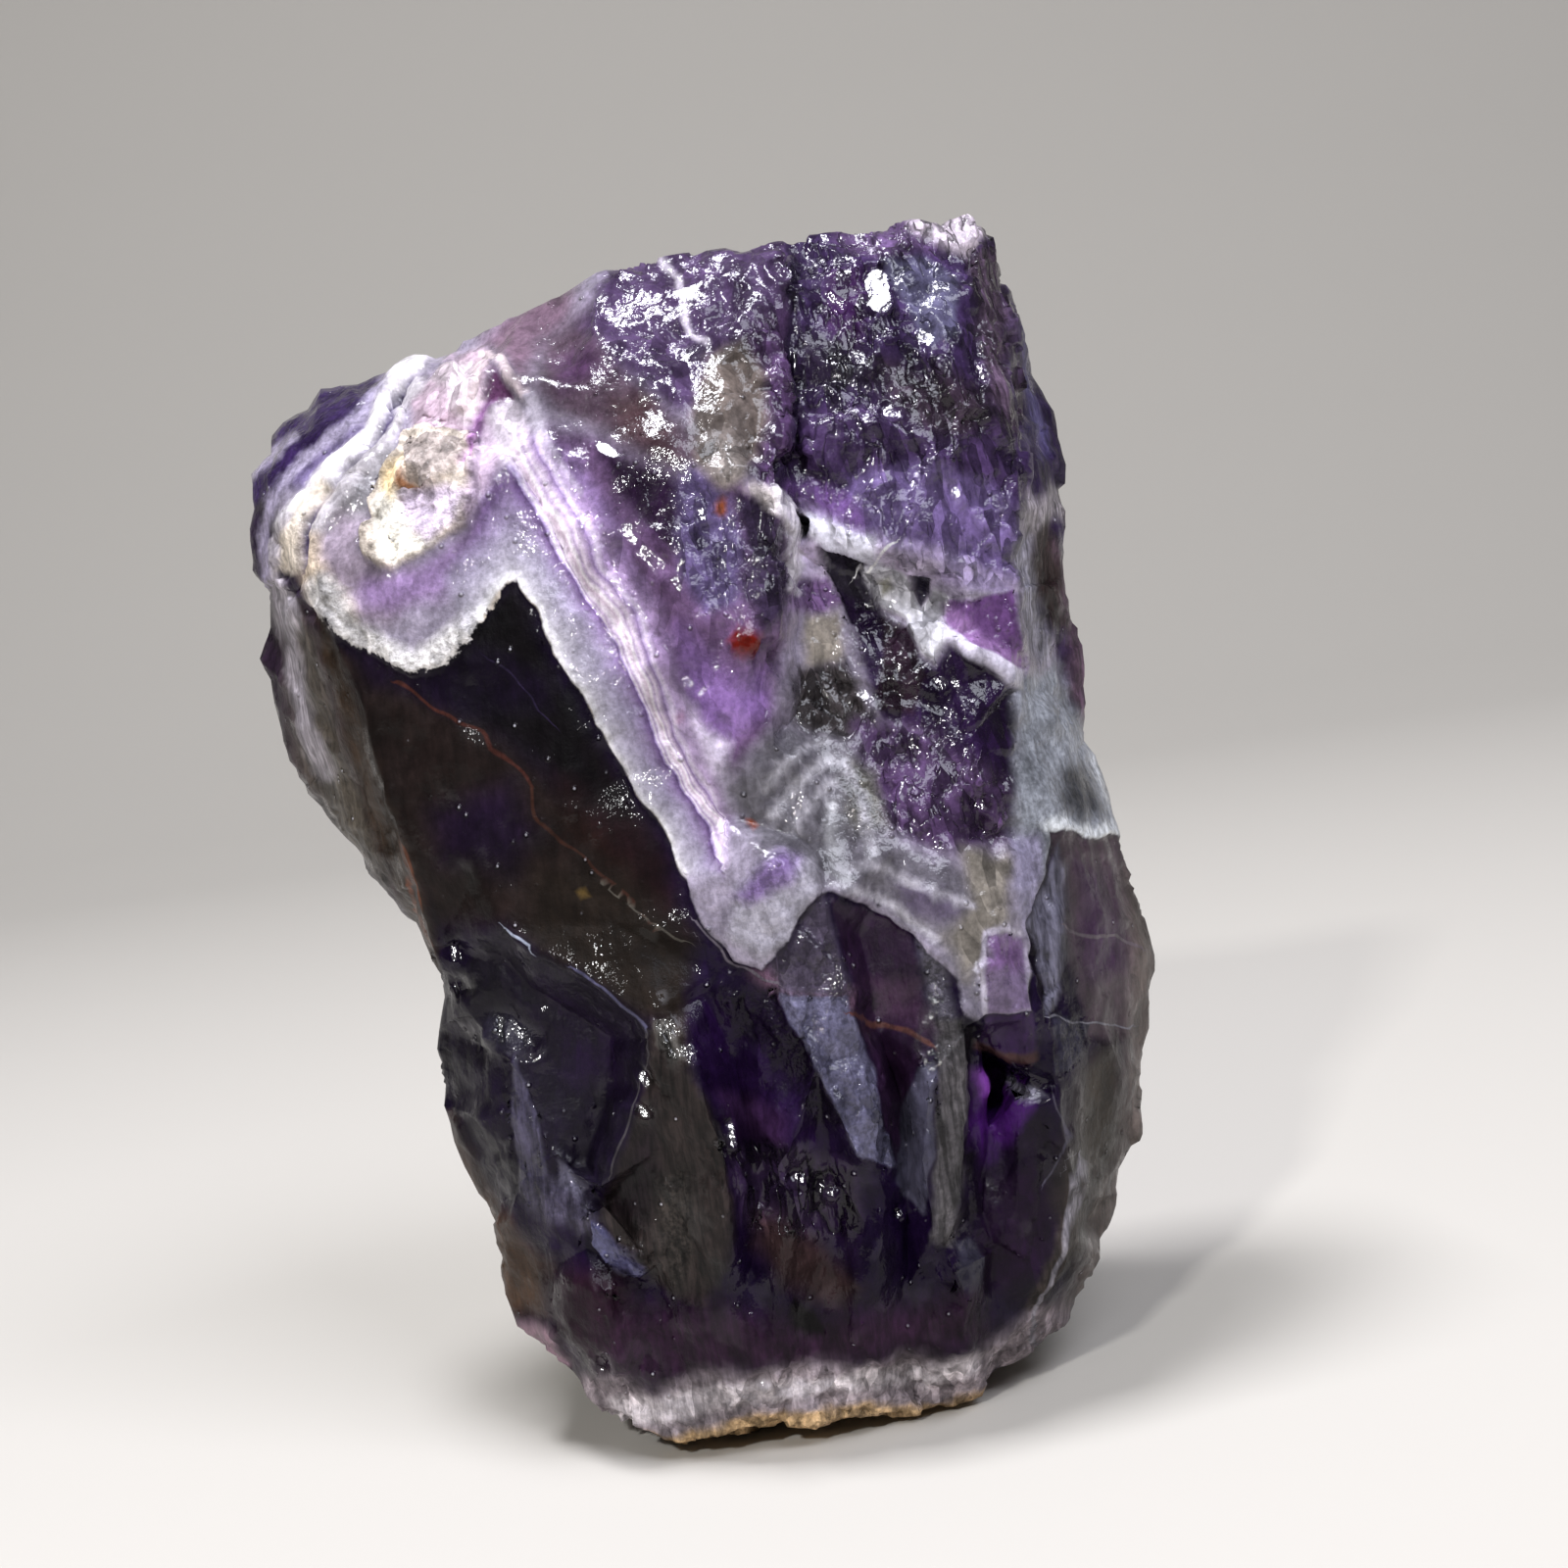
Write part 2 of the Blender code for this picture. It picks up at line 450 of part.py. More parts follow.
def centre_over_foot(bm):
    """Moves the stone level, so that the middle of its outer box stands over the origin."""
    corners = np.array([v.co[:] for v in bm.verts])
    middle = (corners.min(axis=0) + corners.max(axis=0)) / 2
    shift = Vector((-middle[0], -middle[1], 0.0))
    bmesh.ops.translate(bm, verts=bm.verts[:], vec=shift)
    print(f"moved level by {shift.x:.3f}, {shift.y:.3f} mm")
    print(f"the sketch's middle is at {stand(Vector()) + shift} mm")


def stone_material():
    material = bpy.data.materials.new("banded_amethyst")
    material.use_nodes = True
    shader = material.node_tree.nodes["Principled BSDF"]
    shader.inputs["Base Color"].default_value = STONE_PURPLE
    shader.inputs["Roughness"].default_value = 0.25
    shader.inputs["Metallic"].default_value = 0.0
    return material


def build():
    clear_scene()
    noise.seed_set(NOISE_SEED)
    bm = stone_mesh()
    centre_over_foot(bm)
    bmesh.ops.scale(bm, vec=(MM, MM, MM), verts=bm.verts[:])
    mesh = bpy.data.meshes.new("amethyst_chunk")
    bm.to_mesh(mesh)
    bm.free()
    mesh.materials.append(stone_material())
    stone = bpy.data.objects.new("amethyst_chunk", mesh)
    bpy.context.scene.collection.objects.link(stone)
    corners = np.array([v.co[:] for v in mesh.vertices])
    print(f"amethyst_chunk: {len(mesh.polygons)} faces, box {corners.min(0) / MM} to {corners.max(0) / MM} mm")


build()
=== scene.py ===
# %% [markdown]
# # A rough chunk of chevron amethyst
#
# This lesson dresses one broken piece of banded quartz. Its solid already has the right outline, the large
# flat faces and the ledges. What is left to make is what the eye enjoys from near by: the small hackly
# breaks, the milky zig-zag layers, the violet and smoky crystals, and the wet shine over all of it.
#
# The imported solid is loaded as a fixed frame. It is never moved. A copy of it is refined, roughened and
# coloured, and shown in its place.

# %% Load the fixed frame
import math

import bmesh
import bpy
import numpy as np
from mathutils import Matrix, Vector, noise


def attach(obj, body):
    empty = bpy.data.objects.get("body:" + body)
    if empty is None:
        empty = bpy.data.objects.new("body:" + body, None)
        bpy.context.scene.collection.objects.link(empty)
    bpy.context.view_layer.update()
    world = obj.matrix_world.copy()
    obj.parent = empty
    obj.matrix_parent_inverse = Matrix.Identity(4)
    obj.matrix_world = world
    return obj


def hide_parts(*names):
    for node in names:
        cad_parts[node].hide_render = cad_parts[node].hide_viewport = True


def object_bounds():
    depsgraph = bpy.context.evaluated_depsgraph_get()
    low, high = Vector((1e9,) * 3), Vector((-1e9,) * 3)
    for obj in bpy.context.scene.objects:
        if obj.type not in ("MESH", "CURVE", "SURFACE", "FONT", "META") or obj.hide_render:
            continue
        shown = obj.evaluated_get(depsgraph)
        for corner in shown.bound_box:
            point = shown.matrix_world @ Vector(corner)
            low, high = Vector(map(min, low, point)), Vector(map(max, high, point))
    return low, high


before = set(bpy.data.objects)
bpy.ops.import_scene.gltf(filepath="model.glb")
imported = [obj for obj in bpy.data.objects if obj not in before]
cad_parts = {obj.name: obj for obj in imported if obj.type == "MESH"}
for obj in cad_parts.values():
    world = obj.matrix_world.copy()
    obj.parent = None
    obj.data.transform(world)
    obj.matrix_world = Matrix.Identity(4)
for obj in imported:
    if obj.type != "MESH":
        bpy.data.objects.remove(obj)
SOLID = "amethyst_chunk"
MM = 0.001
NOISE_SEED = 11
cad_box = [list(corner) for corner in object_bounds()]
noise.seed_set(NOISE_SEED)
print("solid's box in mm:", [[round(x / MM, 1) for x in corner] for corner in cad_box])

# %% [markdown]
# ## Where the eye stands
#
# The stone is looked at from 20 cm in front of its middle, from a little above, with the head leaning
# a few degrees to the left. The same eye serves two ends. The camera stands there, and every marking on
# the stone is placed by where that eye sees it: a place is given in pixels of a picture 1600 wide that
# the eye takes in, and 0.07 mm of the stone's middle plane fall on one pixel. A marking runs straight
# back through the stone along the line of sight, as real growth layers run on through the crystal, so
# the sides and the back get layers that meet those of the front.

# %% The eye's frame
LEAN_DEG = 8.3
EYE_ELEVATION_DEG = 6.0
EYE_DISTANCE = 200.0
MIDDLE = Vector((6.26, -4.59, 44.46))
PICTURE_WIDTH = 1600
MM_PER_PIXEL = 0.07
SENSOR_WIDTH = 36.0


def eye_axes():
    """The eye's right and up directions and the one towards it, in the stone's frame."""
    lean, rise = math.radians(LEAN_DEG), math.radians(EYE_ELEVATION_DEG)
    to_eye = Vector((0.0, -math.cos(rise), math.sin(rise)))
    up = Vector((0.0, math.sin(rise), math.cos(rise)))
    side = Vector((1.0, 0.0, 0.0))
    right = side * math.cos(lean) - up * math.sin(lean)
    above = side * math.sin(lean) + up * math.cos(lean)
    return right, above, to_eye


RIGHT, ABOVE, TO_EYE = eye_axes()


def seen_at(places):
    """The pixel (across, down) where the eye sees each place, and its height over the middle plane, in mm."""
    moved = places - np.array(MIDDLE)
    near = moved @ np.array(TO_EYE)
    spread = (EYE_DISTANCE - near) / EYE_DISTANCE
    across = PICTURE_WIDTH / 2 + (moved @ np.array(RIGHT)) / spread / MM_PER_PIXEL
    down = PICTURE_WIDTH / 2 - (moved @ np.array(ABOVE)) / spread / MM_PER_PIXEL
    return across, down, near


# %% [markdown]
# ## Camera, floor and light
#
# Two kinds of light show what this stone is. One broad window, slightly blue and high on the right, lays a
# cool sheen on the flat crystal faces. Two small bright lamps, one over the eye's left shoulder and one
# overhead, give the hundreds of white glints on its wet, broken faces. The room is dim, because a black
# crystal shows only what it reflects. The floor is a pale sheet that curves up behind the stone, so no
# horizon crosses the picture. It ends soon before the stone, where it would be mirrored in the dark faces.

# %% Camera
camera_data = bpy.data.cameras.new("eye")
camera = bpy.data.objects.new("eye", camera_data)
bpy.context.scene.collection.objects.link(camera)
bpy.context.scene.camera = camera
turn = Matrix((RIGHT, ABOVE, TO_EYE)).transposed()
camera.matrix_world = Matrix.Translation((MIDDLE + TO_EYE * EYE_DISTANCE) * MM) @ turn.to_4x4()
camera_data.sensor_width = SENSOR_WIDTH
camera_data.lens = SENSOR_WIDTH * EYE_DISTANCE / (PICTURE_WIDTH * MM_PER_PIXEL)
camera_data.clip_start = 0.01
print("lens in mm:", round(camera_data.lens, 2))


# %% Colour and node helpers
SHINE = 0.0035
LEAST_KEPT = 0.4


def linear(hex_colour):
    """An sRGB hex colour as the linear numbers that Blender's sockets take."""
    values = [int(hex_colour[i : i + 2], 16) / 255 for i in (1, 3, 5)]
    return (*(v / 12.92 if v <= 0.04045 else ((v + 0.055) / 1.055) ** 2.4 for v in values), 1.0)


def under_shine(hex_colour):
    """The stone's own colour: one noted down from the wet stone has some of the room's reflection in it."""
    return np.array([max(part - SHINE, part * LEAST_KEPT) for part in linear(hex_colour)[:3]])


def add_node(tree, kind, inputs, **settings):
    """Adds a node. Settings go on the node; each input is a value, or the socket to link from."""
    node = tree.nodes.new(kind)
    for name, value in settings.items():
        setattr(node, name, value)
    for key, value in inputs.items():
        if isinstance(value, bpy.types.NodeSocket):
            tree.links.new(value, node.inputs[key])
        else:
            node.inputs[key].default_value = value
    return node


def new_material(name):
    """An empty node material."""
    material = bpy.data.materials.new(name)
    material.use_nodes = True
    material.node_tree.nodes.clear()
    return material, material.node_tree


# %% Floor that curves up behind
FLOOR_FRONT = -0.30
FLOOR_BACK = 0.38
FLOOR_HALF_WIDTH = 1.6
SWEEP_RADIUS = 0.35
SWEEP_STEPS = 10
WALL_HEIGHT = 1.0

bpy.ops.object.select_all(action="DESELECT")
bpy.ops.mesh.primitive_plane_add(size=2, location=(0, 0, 0))
floor = bpy.context.object
floor.name = "pale_sheet"
floor.scale = (FLOOR_HALF_WIDTH, (FLOOR_BACK - FLOOR_FRONT) / 2, 1)
floor.location.y = (FLOOR_BACK + FLOOR_FRONT) / 2
bpy.ops.object.transform_apply(location=True, rotation=False, scale=True)
bpy.ops.object.mode_set(mode="EDIT")
bpy.ops.mesh.select_mode(type="EDGE")
bpy.ops.mesh.select_all(action="DESELECT")
sheet_mesh = bmesh.from_edit_mesh(floor.data)
for edge in sheet_mesh.edges:
    edge.select_set(all(vert.co.y > FLOOR_BACK - MM for vert in edge.verts))
bmesh.update_edit_mesh(floor.data)
quarter = math.radians(-90)
bpy.ops.mesh.spin(steps=SWEEP_STEPS, angle=quarter, center=(0, FLOOR_BACK, SWEEP_RADIUS), axis=(1, 0, 0))
bpy.ops.mesh.extrude_region_move(TRANSFORM_OT_translate={"value": (0, 0, WALL_HEIGHT)})
bpy.ops.object.mode_set(mode="OBJECT")
bpy.ops.object.shade_smooth()
print("sheet rises to", round(max(v.co.z for v in floor.data.vertices), 2), "m")

# Matt paper: it lights the stone from below and shows no shine of its own
paper, tree = new_material("matt_paper")
shader = add_node(tree, "ShaderNodeBsdfPrincipled", {"Base Color": linear("#bdb9b1"), "Roughness": 0.9})
add_node(tree, "ShaderNodeOutputMaterial", {"Surface": shader.outputs["BSDF"]})
floor.data.materials.append(paper)

# %% Window, lamps and dim room
LIGHTS = [
    {"name": "window", "colour": "#eff2ff", "watts": 5.0, "size": (0.42, 0.36), "place": (0.30, -0.42, 0.66)},
    {"name": "lamp over the left shoulder", "colour": "#ffffff", "watts": 2.6, "size": (0.05, 0.04),
     "place": (-0.20, -0.58, 0.42)},
    {"name": "lamp overhead", "colour": "#f6f7ff", "watts": 4.2, "size": (0.17, 0.13),
     "place": (-0.10, -0.02, 0.62)},
]
AIM = Vector((0.0, 0.0, 0.045))
ROOM_LIGHT = 0.22

for light in LIGHTS:
    data = bpy.data.lights.new(light["name"], "AREA")
    data.shape = "RECTANGLE"
    data.size, data.size_y = light["size"]
    data.energy = light["watts"]
    data.color = linear(light["colour"])[:3]
    lamp = bpy.data.objects.new(light["name"], data)
    lamp.location = light["place"]
    lamp.rotation_euler = (lamp.location - AIM).to_track_quat("Z", "Y").to_euler()
    bpy.context.scene.collection.objects.link(lamp)

room = bpy.data.worlds.new("dim room")
bpy.context.scene.world = room
room.use_nodes = True
room.node_tree.nodes["Background"].inputs["Color"].default_value = linear("#b9b6b4")
room.node_tree.nodes["Background"].inputs["Strength"].default_value = ROOM_LIGHT
bpy.context.scene.view_settings.view_transform = "Standard"
print("lights:", [light["name"] for light in LIGHTS])

# %% [markdown]
# ## Markings, outlined one by one
#
# The stone is painted in two coats, as a restorer would: one for the dark crystals below the growth line and
# one for all that grew on top of them. The shader later cuts the two coats along that line, so the line
# stays crisp while zones blend softly.
#
# Each zone has a colour, an edge, which is how softly it ends, in mm, and an outline in picture points. It
# may also say how strong its colour is (strength), how proud of its surroundings it stands (lift, in mm) and
# what its surface is like, each from 0 to 1: clear lets light through, etched is finely pitted, fibres run up
# the stone, hackly is broken in many small scars, dull is dry and crumbly, and drained has lost its film of
# water. The first row of a coat covers all of it, and later zones lie on top of earlier ones.

# %% Coat below the growth line
def zone(what, colour, edge, outline, **surface):
    """One zone of a coat, with only the surface values that it changes."""
    return {"what": what, "colour": colour, "edge": edge, "outline": outline, **surface}


BELOW = [
    {"what": "dark amethyst all over", "colour": "#170c22", "fibres": 0.25, "hackly": 0.25, "drained": 0.7},
    zone("smoky quartz at the left", "#1e1817", 3.0, [(345, 660), (400, 690), (470, 720), (560, 790),
        (640, 880), (700, 960), (700, 1040), (590, 1000), (515, 948), (440, 940), (400, 880), (360, 760)],
        hackly=0.2, drained=0.85),
    zone("reddish smoke along the long slope", "#1e130f", 2.0, [(560, 770), (600, 760), (650, 830),
        (680, 880), (705, 960), (640, 900), (580, 850)], strength=0.8, hackly=0.1, drained=1.0),
    zone("smoky grey above the scoop", "#1f1a17", 2.5, [(540, 890), (640, 885), (705, 960), (705, 1045),
        (650, 1035), (590, 995), (540, 965)], hackly=0.0, drained=1.0),
    zone("black heart of the left crystal", "#0f090f", 2.5, [(430, 690), (500, 620), (527, 580), (600, 740),
        (640, 830), (560, 790), (500, 750)], hackly=0.2, drained=0.9),
    zone("violet glow in the left crystal", "#1b1224", 3.0, [(440, 830), (520, 800), (550, 850), (520, 890),
        (450, 880)], strength=0.8),
    zone("violet haze under the pocket", "#160e1d", 2.0, [(360, 665), (420, 700), (490, 650), (560, 690),
        (560, 720), (470, 730), (380, 700)], strength=0.8),
    zone("left flank", "#2a1f2c", 1.2, [(200, 520), (300, 540), (325, 610), (350, 690), (375, 790),
        (410, 870), (430, 940), (400, 940), (200, 700)], fibres=0.5, drained=0.8),
    zone("grey veil on the left flank", "#4c463f", 2.2, [(288, 600), (318, 650), (335, 720), (360, 790),
        (385, 850), (398, 905), (350, 865), (308, 800), (292, 700)], fibres=0.7, drained=0.8),
    zone("brown strip along the left edge", "#32271f", 1.0, [(318, 610), (345, 660), (372, 740), (388, 800),
        (412, 860), (432, 920), (450, 990), (432, 985), (405, 905), (380, 850), (352, 760), (330, 680)],
        fibres=0.4, drained=0.8),
    zone("scooped crystal", "#160b1f", 0.6, [(448, 1000), (515, 948), (548, 975), (590, 998), (650, 1037),
        (663, 1060), (655, 1090), (640, 1130), (622, 1190), (612, 1215), (590, 1200), (540, 1230),
        (470, 1200), (445, 1100)], clear=0.3, etched=0.15, hackly=0.3, drained=0.85),
    zone("violet gleam in the scoop", "#20112f", 2.5, [(560, 1000), (640, 1050), (630, 1120), (570, 1100)],
        strength=0.8),
    # The grit's pale grey is partly real grit and partly painted glitter where the scoop sparkles.
    zone("grit and painted glitter in the scoop", "#3a3844", 1.2, [(495, 1035), (520, 1040), (548, 1062), (520, 1078),
        (500, 1060)], strength=0.7, hackly=1.0, drained=0.0),
    zone("translucent brown lower left edge", "#4a3424", 2.0, [(455, 1140), (490, 1200), (520, 1260),
        (560, 1290), (555, 1340), (520, 1340), (470, 1240)], clear=0.4, drained=0.8),
    # The bluish slate of the spike facet is a painted reflection of the window that this face mirrors.
    zone("spike facet", "#403c4e", 0.25, [(522, 1080), (534, 1110), (550, 1150), (558, 1200), (545, 1228),
        (532, 1210), (524, 1150)], etched=0.3, fibres=0.8, drained=0.4),
    zone("dull foot of the spike", "#3f3b4a", 1.0, [(530, 1215), (560, 1200), (600, 1215), (612, 1240),
        (590, 1255), (545, 1240)], etched=0.5, fibres=0.8, drained=0.7),
    zone("small grey facet beside the spike", "#504d5c", 0.25, [(568, 1183), (602, 1210), (590, 1222),
        (572, 1212)], etched=0.5),
    # The blue-grey of the sky facet is a painted reflection of the window that this wet face mirrors.
    zone("sky facet", "#484764", 0.15, [(606, 1238), (618, 1248), (645, 1272), (668, 1286), (650, 1308),
        (632, 1302), (606, 1266)], lift=0.3, etched=0.5, drained=0.1),
    zone("black under the sky facet", "#130c1b", 0.3, [(598, 1245), (606, 1268), (632, 1304), (625, 1318),
        (596, 1280)], drained=0.8),
    zone("smoky column", "#282221", 0.8, [(665, 1040), (700, 1036), (708, 1085), (735, 1140), (750, 1200),
        (745, 1290), (720, 1340), (670, 1310), (615, 1240), (628, 1190), (650, 1120)], clear=0.2,
        fibres=1.0, hackly=0.4, drained=0.85),
    zone("dark core of the smoky column", "#1c161b", 1.6, [(640, 1170), (665, 1120), (672, 1200),
        (655, 1250), (625, 1230)], strength=0.8),
    zone("grey grit low in the column", "#322e2b", 1.4, [(670, 1200), (700, 1190), (705, 1290), (690, 1320),
        (668, 1270)], strength=0.7, etched=1.0, hackly=0.5),
    # The pale grey of the chipped ridge and of the chip beside the column is partly their own chipped surface
    # and partly a painted glint.
    zone("chipped ridge of the column with painted glint", "#4a4744", 0.4, [(666, 1042), (684, 1040), (702, 1075), (692, 1082),
        (672, 1062)], hackly=1.0, drained=0.0),
    zone("chip with painted glint beside the column", "#4a4744", 0.3, [(734, 1143), (744, 1146), (752, 1174), (742, 1174)],
        hackly=1.0, drained=0.0),
    zone("dark violet between the column and the blade", "#1b0f27", 1.4, [(705, 1010), (760, 1010),
        (800, 1060), (850, 1160), (860, 1260), (770, 1250), (735, 1130), (708, 1070)], hackly=0.4,
        drained=0.6),
    zone("purple patch at its foot", "#37233f", 1.6, [(735, 1110), (770, 1125), (808, 1140), (800, 1175),
        (765, 1165)], strength=0.8),
    zone("rough dark break under it", "#281e30", 1.2, [(750, 1170), (810, 1170), (870, 1190), (880, 1260),
        (820, 1270), (760, 1250)], hackly=1.0, drained=0.1),
    zone("dull red where the tongue ends", "#5c4556", 1.2, [(765, 996), (800, 990), (880, 1005),
        (905, 1028), (850, 1030), (790, 1018)], etched=1.0),
    zone("upper part of the blade", "#443d4b", 0.9, [(785, 990), (842, 912), (852, 950), (864, 1012),
        (790, 1015)], etched=0.5, hackly=0.65, drained=0.3),
    # The blade facet's blue-grey is partly its own grey and partly a painted reflection of the window on this
    # flat face.
    zone("blade facet", "#525064", 0.2, [(790, 1015), (862, 1012), (874, 1045), (893, 1090), (905, 1145),
        (916, 1192), (880, 1180), (856, 1145), (830, 1085), (808, 1050)], etched=0.6,
        hackly=0.65, drained=0.2),
    zone("dark side of the blade", "#181120", 0.4, [(735, 1010), (786, 1012), (806, 1052), (830, 1088),
        (858, 1150), (835, 1150), (790, 1090), (750, 1050)], etched=0.7, hackly=0.5, drained=0.6),
    zone("dark gem right of the blade", "#27172c", 0.4, [(852, 918), (925, 942), (950, 1040), (950, 1060),
        (930, 1090), (918, 1190), (893, 1085), (872, 1030)], clear=0.3),
    zone("plum bloom in the dark gem", "#462f45", 1.4, [(880, 995), (935, 1005), (952, 1052), (900, 1035)],
        strength=0.8),
    zone("grit at the gem's right", "#48454e", 1.0, [(935, 960), (965, 985), (975, 1040), (955, 1050),
        (945, 1000)], etched=1.0, drained=0.2),
    zone("slate facet", "#413f4d", 0.3, [(932, 1088), (950, 1080), (955, 1180), (938, 1235), (915, 1205),
        (922, 1140)]),
    zone("grey-green column", "#464345", 0.6, [(952, 1040), (985, 1040), (993, 1130), (990, 1190),
        (970, 1275), (945, 1265), (958, 1180)], clear=0.1, etched=0.5, fibres=1.0),
    zone("black seam beside the column", "#0d0812", 0.4, [(984, 1045), (1000, 1050), (1000, 1120),
        (996, 1190), (988, 1190), (992, 1120)], lift=-0.4),
    zone("violet box", "#281636", 0.3, [(1005, 1036), (1050, 1034), (1060, 1072), (1030, 1078),
        (1005, 1066)], clear=0.2),
    zone("brown hem under the box", "#3c2a2a", 0.3, [(1000, 1064), (1030, 1076), (1058, 1072), (1058, 1080),
        (1030, 1086), (1000, 1074)]),
    zone("clear violet pocket", "#3a1654", 1.0, [(1000, 1092), (1040, 1095), (1056, 1125), (1030, 1180),
        (1005, 1200), (995, 1150)], clear=0.2, hackly=0.2),
    zone("magenta gleam in the pocket", "#7a3f98", 0.8, [(1000, 1094), (1022, 1096), (1022, 1112),
        (1004, 1114)], lift=0.3, clear=0.1, hackly=0.0),
    zone("sparkling crumbs in the pocket", "#6d6a76", 0.4, [(1024, 1098), (1056, 1106), (1068, 1116),
        (1050, 1122), (1028, 1108)], hackly=1.0, drained=0.0),
    zone("black under the pocket", "#170b1d", 2.0, [(990, 1200), (1060, 1130), (1095, 1180), (1080, 1280),
        (1050, 1340), (980, 1300)], clear=0.15, hackly=0.45, drained=0.8),
    zone("violet depth at the lower right", "#1d0f23", 1.5, [(1005, 1215), (1050, 1190), (1075, 1230),
        (1060, 1300), (1020, 1320), (1000, 1270)], clear=0.1, drained=0.85),
    zone("slate facet at the foot", "#2c2a35", 0.3, [(972, 1267), (984, 1266), (1006, 1290), (998, 1326),
        (978, 1316)], drained=0.6),
    zone("brown-purple crystal at the right", "#463a41", 0.9, [(1072, 852), (1150, 855), (1172, 960),
        (1165, 1060), (1110, 1060), (1095, 960)], clear=0.2, fibres=0.2, drained=0.75),
    zone("plum in the right crystal", "#3c2742", 2.0, [(1095, 880), (1130, 890), (1150, 990), (1110, 1000)],
        strength=0.8, drained=0.75),
    zone("striated fan", "#5c5a68", 0.4, [(1050, 945), (1066, 905), (1082, 862), (1086, 930), (1092, 970),
        (1078, 1030), (1066, 1040), (1062, 985)], fibres=1.0),
    zone("slit beside the fan", "#140e18", 0.3, [(1044, 942), (1052, 945), (1066, 985), (1074, 1010),
        (1068, 1045), (1060, 1000)], lift=-0.4),
    zone("lower fan facet", "#2c2a36", 0.3, [(1074, 1040), (1112, 1044), (1100, 1075), (1080, 1095)],
        etched=0.6),
    zone("olive glass inside the right rim", "#302a24", 2.5, [(1100, 1090), (1140, 1060), (1150, 1150),
        (1135, 1230), (1100, 1290), (1085, 1230)], clear=0.3, drained=0.8),
    zone("grey right rim", "#5d5450", 1.8, [(1152, 880), (1200, 960), (1200, 1110), (1170, 1180),
        (1135, 1290), (1060, 1400), (1045, 1395), (1110, 1290), (1148, 1160), (1158, 1020)], clear=0.2,
        fibres=0.4, hackly=0.4, drained=0.75),
    zone("streaked edge at the lower right", "#332d2a", 0.6, [(1098, 1180), (1128, 1190), (1120, 1240),
        (1085, 1300), (1062, 1352), (1050, 1340), (1072, 1280), (1092, 1230)], fibres=1.0, drained=0.8),
    zone("brownish veil at the foot", "#3b2c2a", 2.0, [(777, 1235), (830, 1270), (880, 1320), (860, 1338),
        (800, 1310), (770, 1270)], strength=0.8),
    zone("violet spear at the foot", "#1c1226", 0.6, [(850, 1180), (880, 1260), (882, 1325), (868, 1300),
        (845, 1240)]),
    zone("plum near the lower left", "#22131a", 2.5, [(555, 1290), (640, 1300), (660, 1350), (600, 1400),
        (560, 1360)], strength=0.8, clear=0.1, hackly=0.4, drained=0.85),
    zone("violet veils over the base", "#2b1a29", 3.0, [(600, 1350), (700, 1330), (850, 1350), (1000, 1320),
        (1010, 1370), (850, 1395), (620, 1415)], strength=0.8, fibres=0.6, hackly=0.4, drained=0.8),
    zone("black diamond over the base", "#0f090e", 0.4, [(812, 1322), (842, 1350), (832, 1366), (806, 1352)],
        drained=0.8),
    zone("pale nub at the lower left", "#8d7480", 1.2, [(520, 1350), (548, 1352), (580, 1395), (560, 1405),
        (525, 1380)], clear=0.1, hackly=0.6, drained=0.6),
    zone("milky bottom layer", "#857b80", 1.8, [(580, 1410), (620, 1404), (660, 1425), (700, 1400),
        (760, 1408), (830, 1392), (880, 1404), (930, 1382), (980, 1392), (1050, 1350), (1100, 1330),
        (1100, 1500), (560, 1520)], fibres=0.5, hackly=0.6, dull=0.7, drained=0.5),
    zone("white crumbs in the bottom layer", "#c4bcc0", 0.9, [(620, 1432), (700, 1420), (800, 1416),
        (900, 1404), (1000, 1380), (1000, 1398), (900, 1424), (800, 1434), (700, 1450), (640, 1454)],
        strength=0.9),
    zone("rusty rim of the base", "#a58a68", 0.6, [(590, 1458), (690, 1467), (770, 1450), (860, 1446),
        (1000, 1424), (1045, 1396), (1100, 1400), (1000, 1540), (590, 1540)], dull=1.0),
]

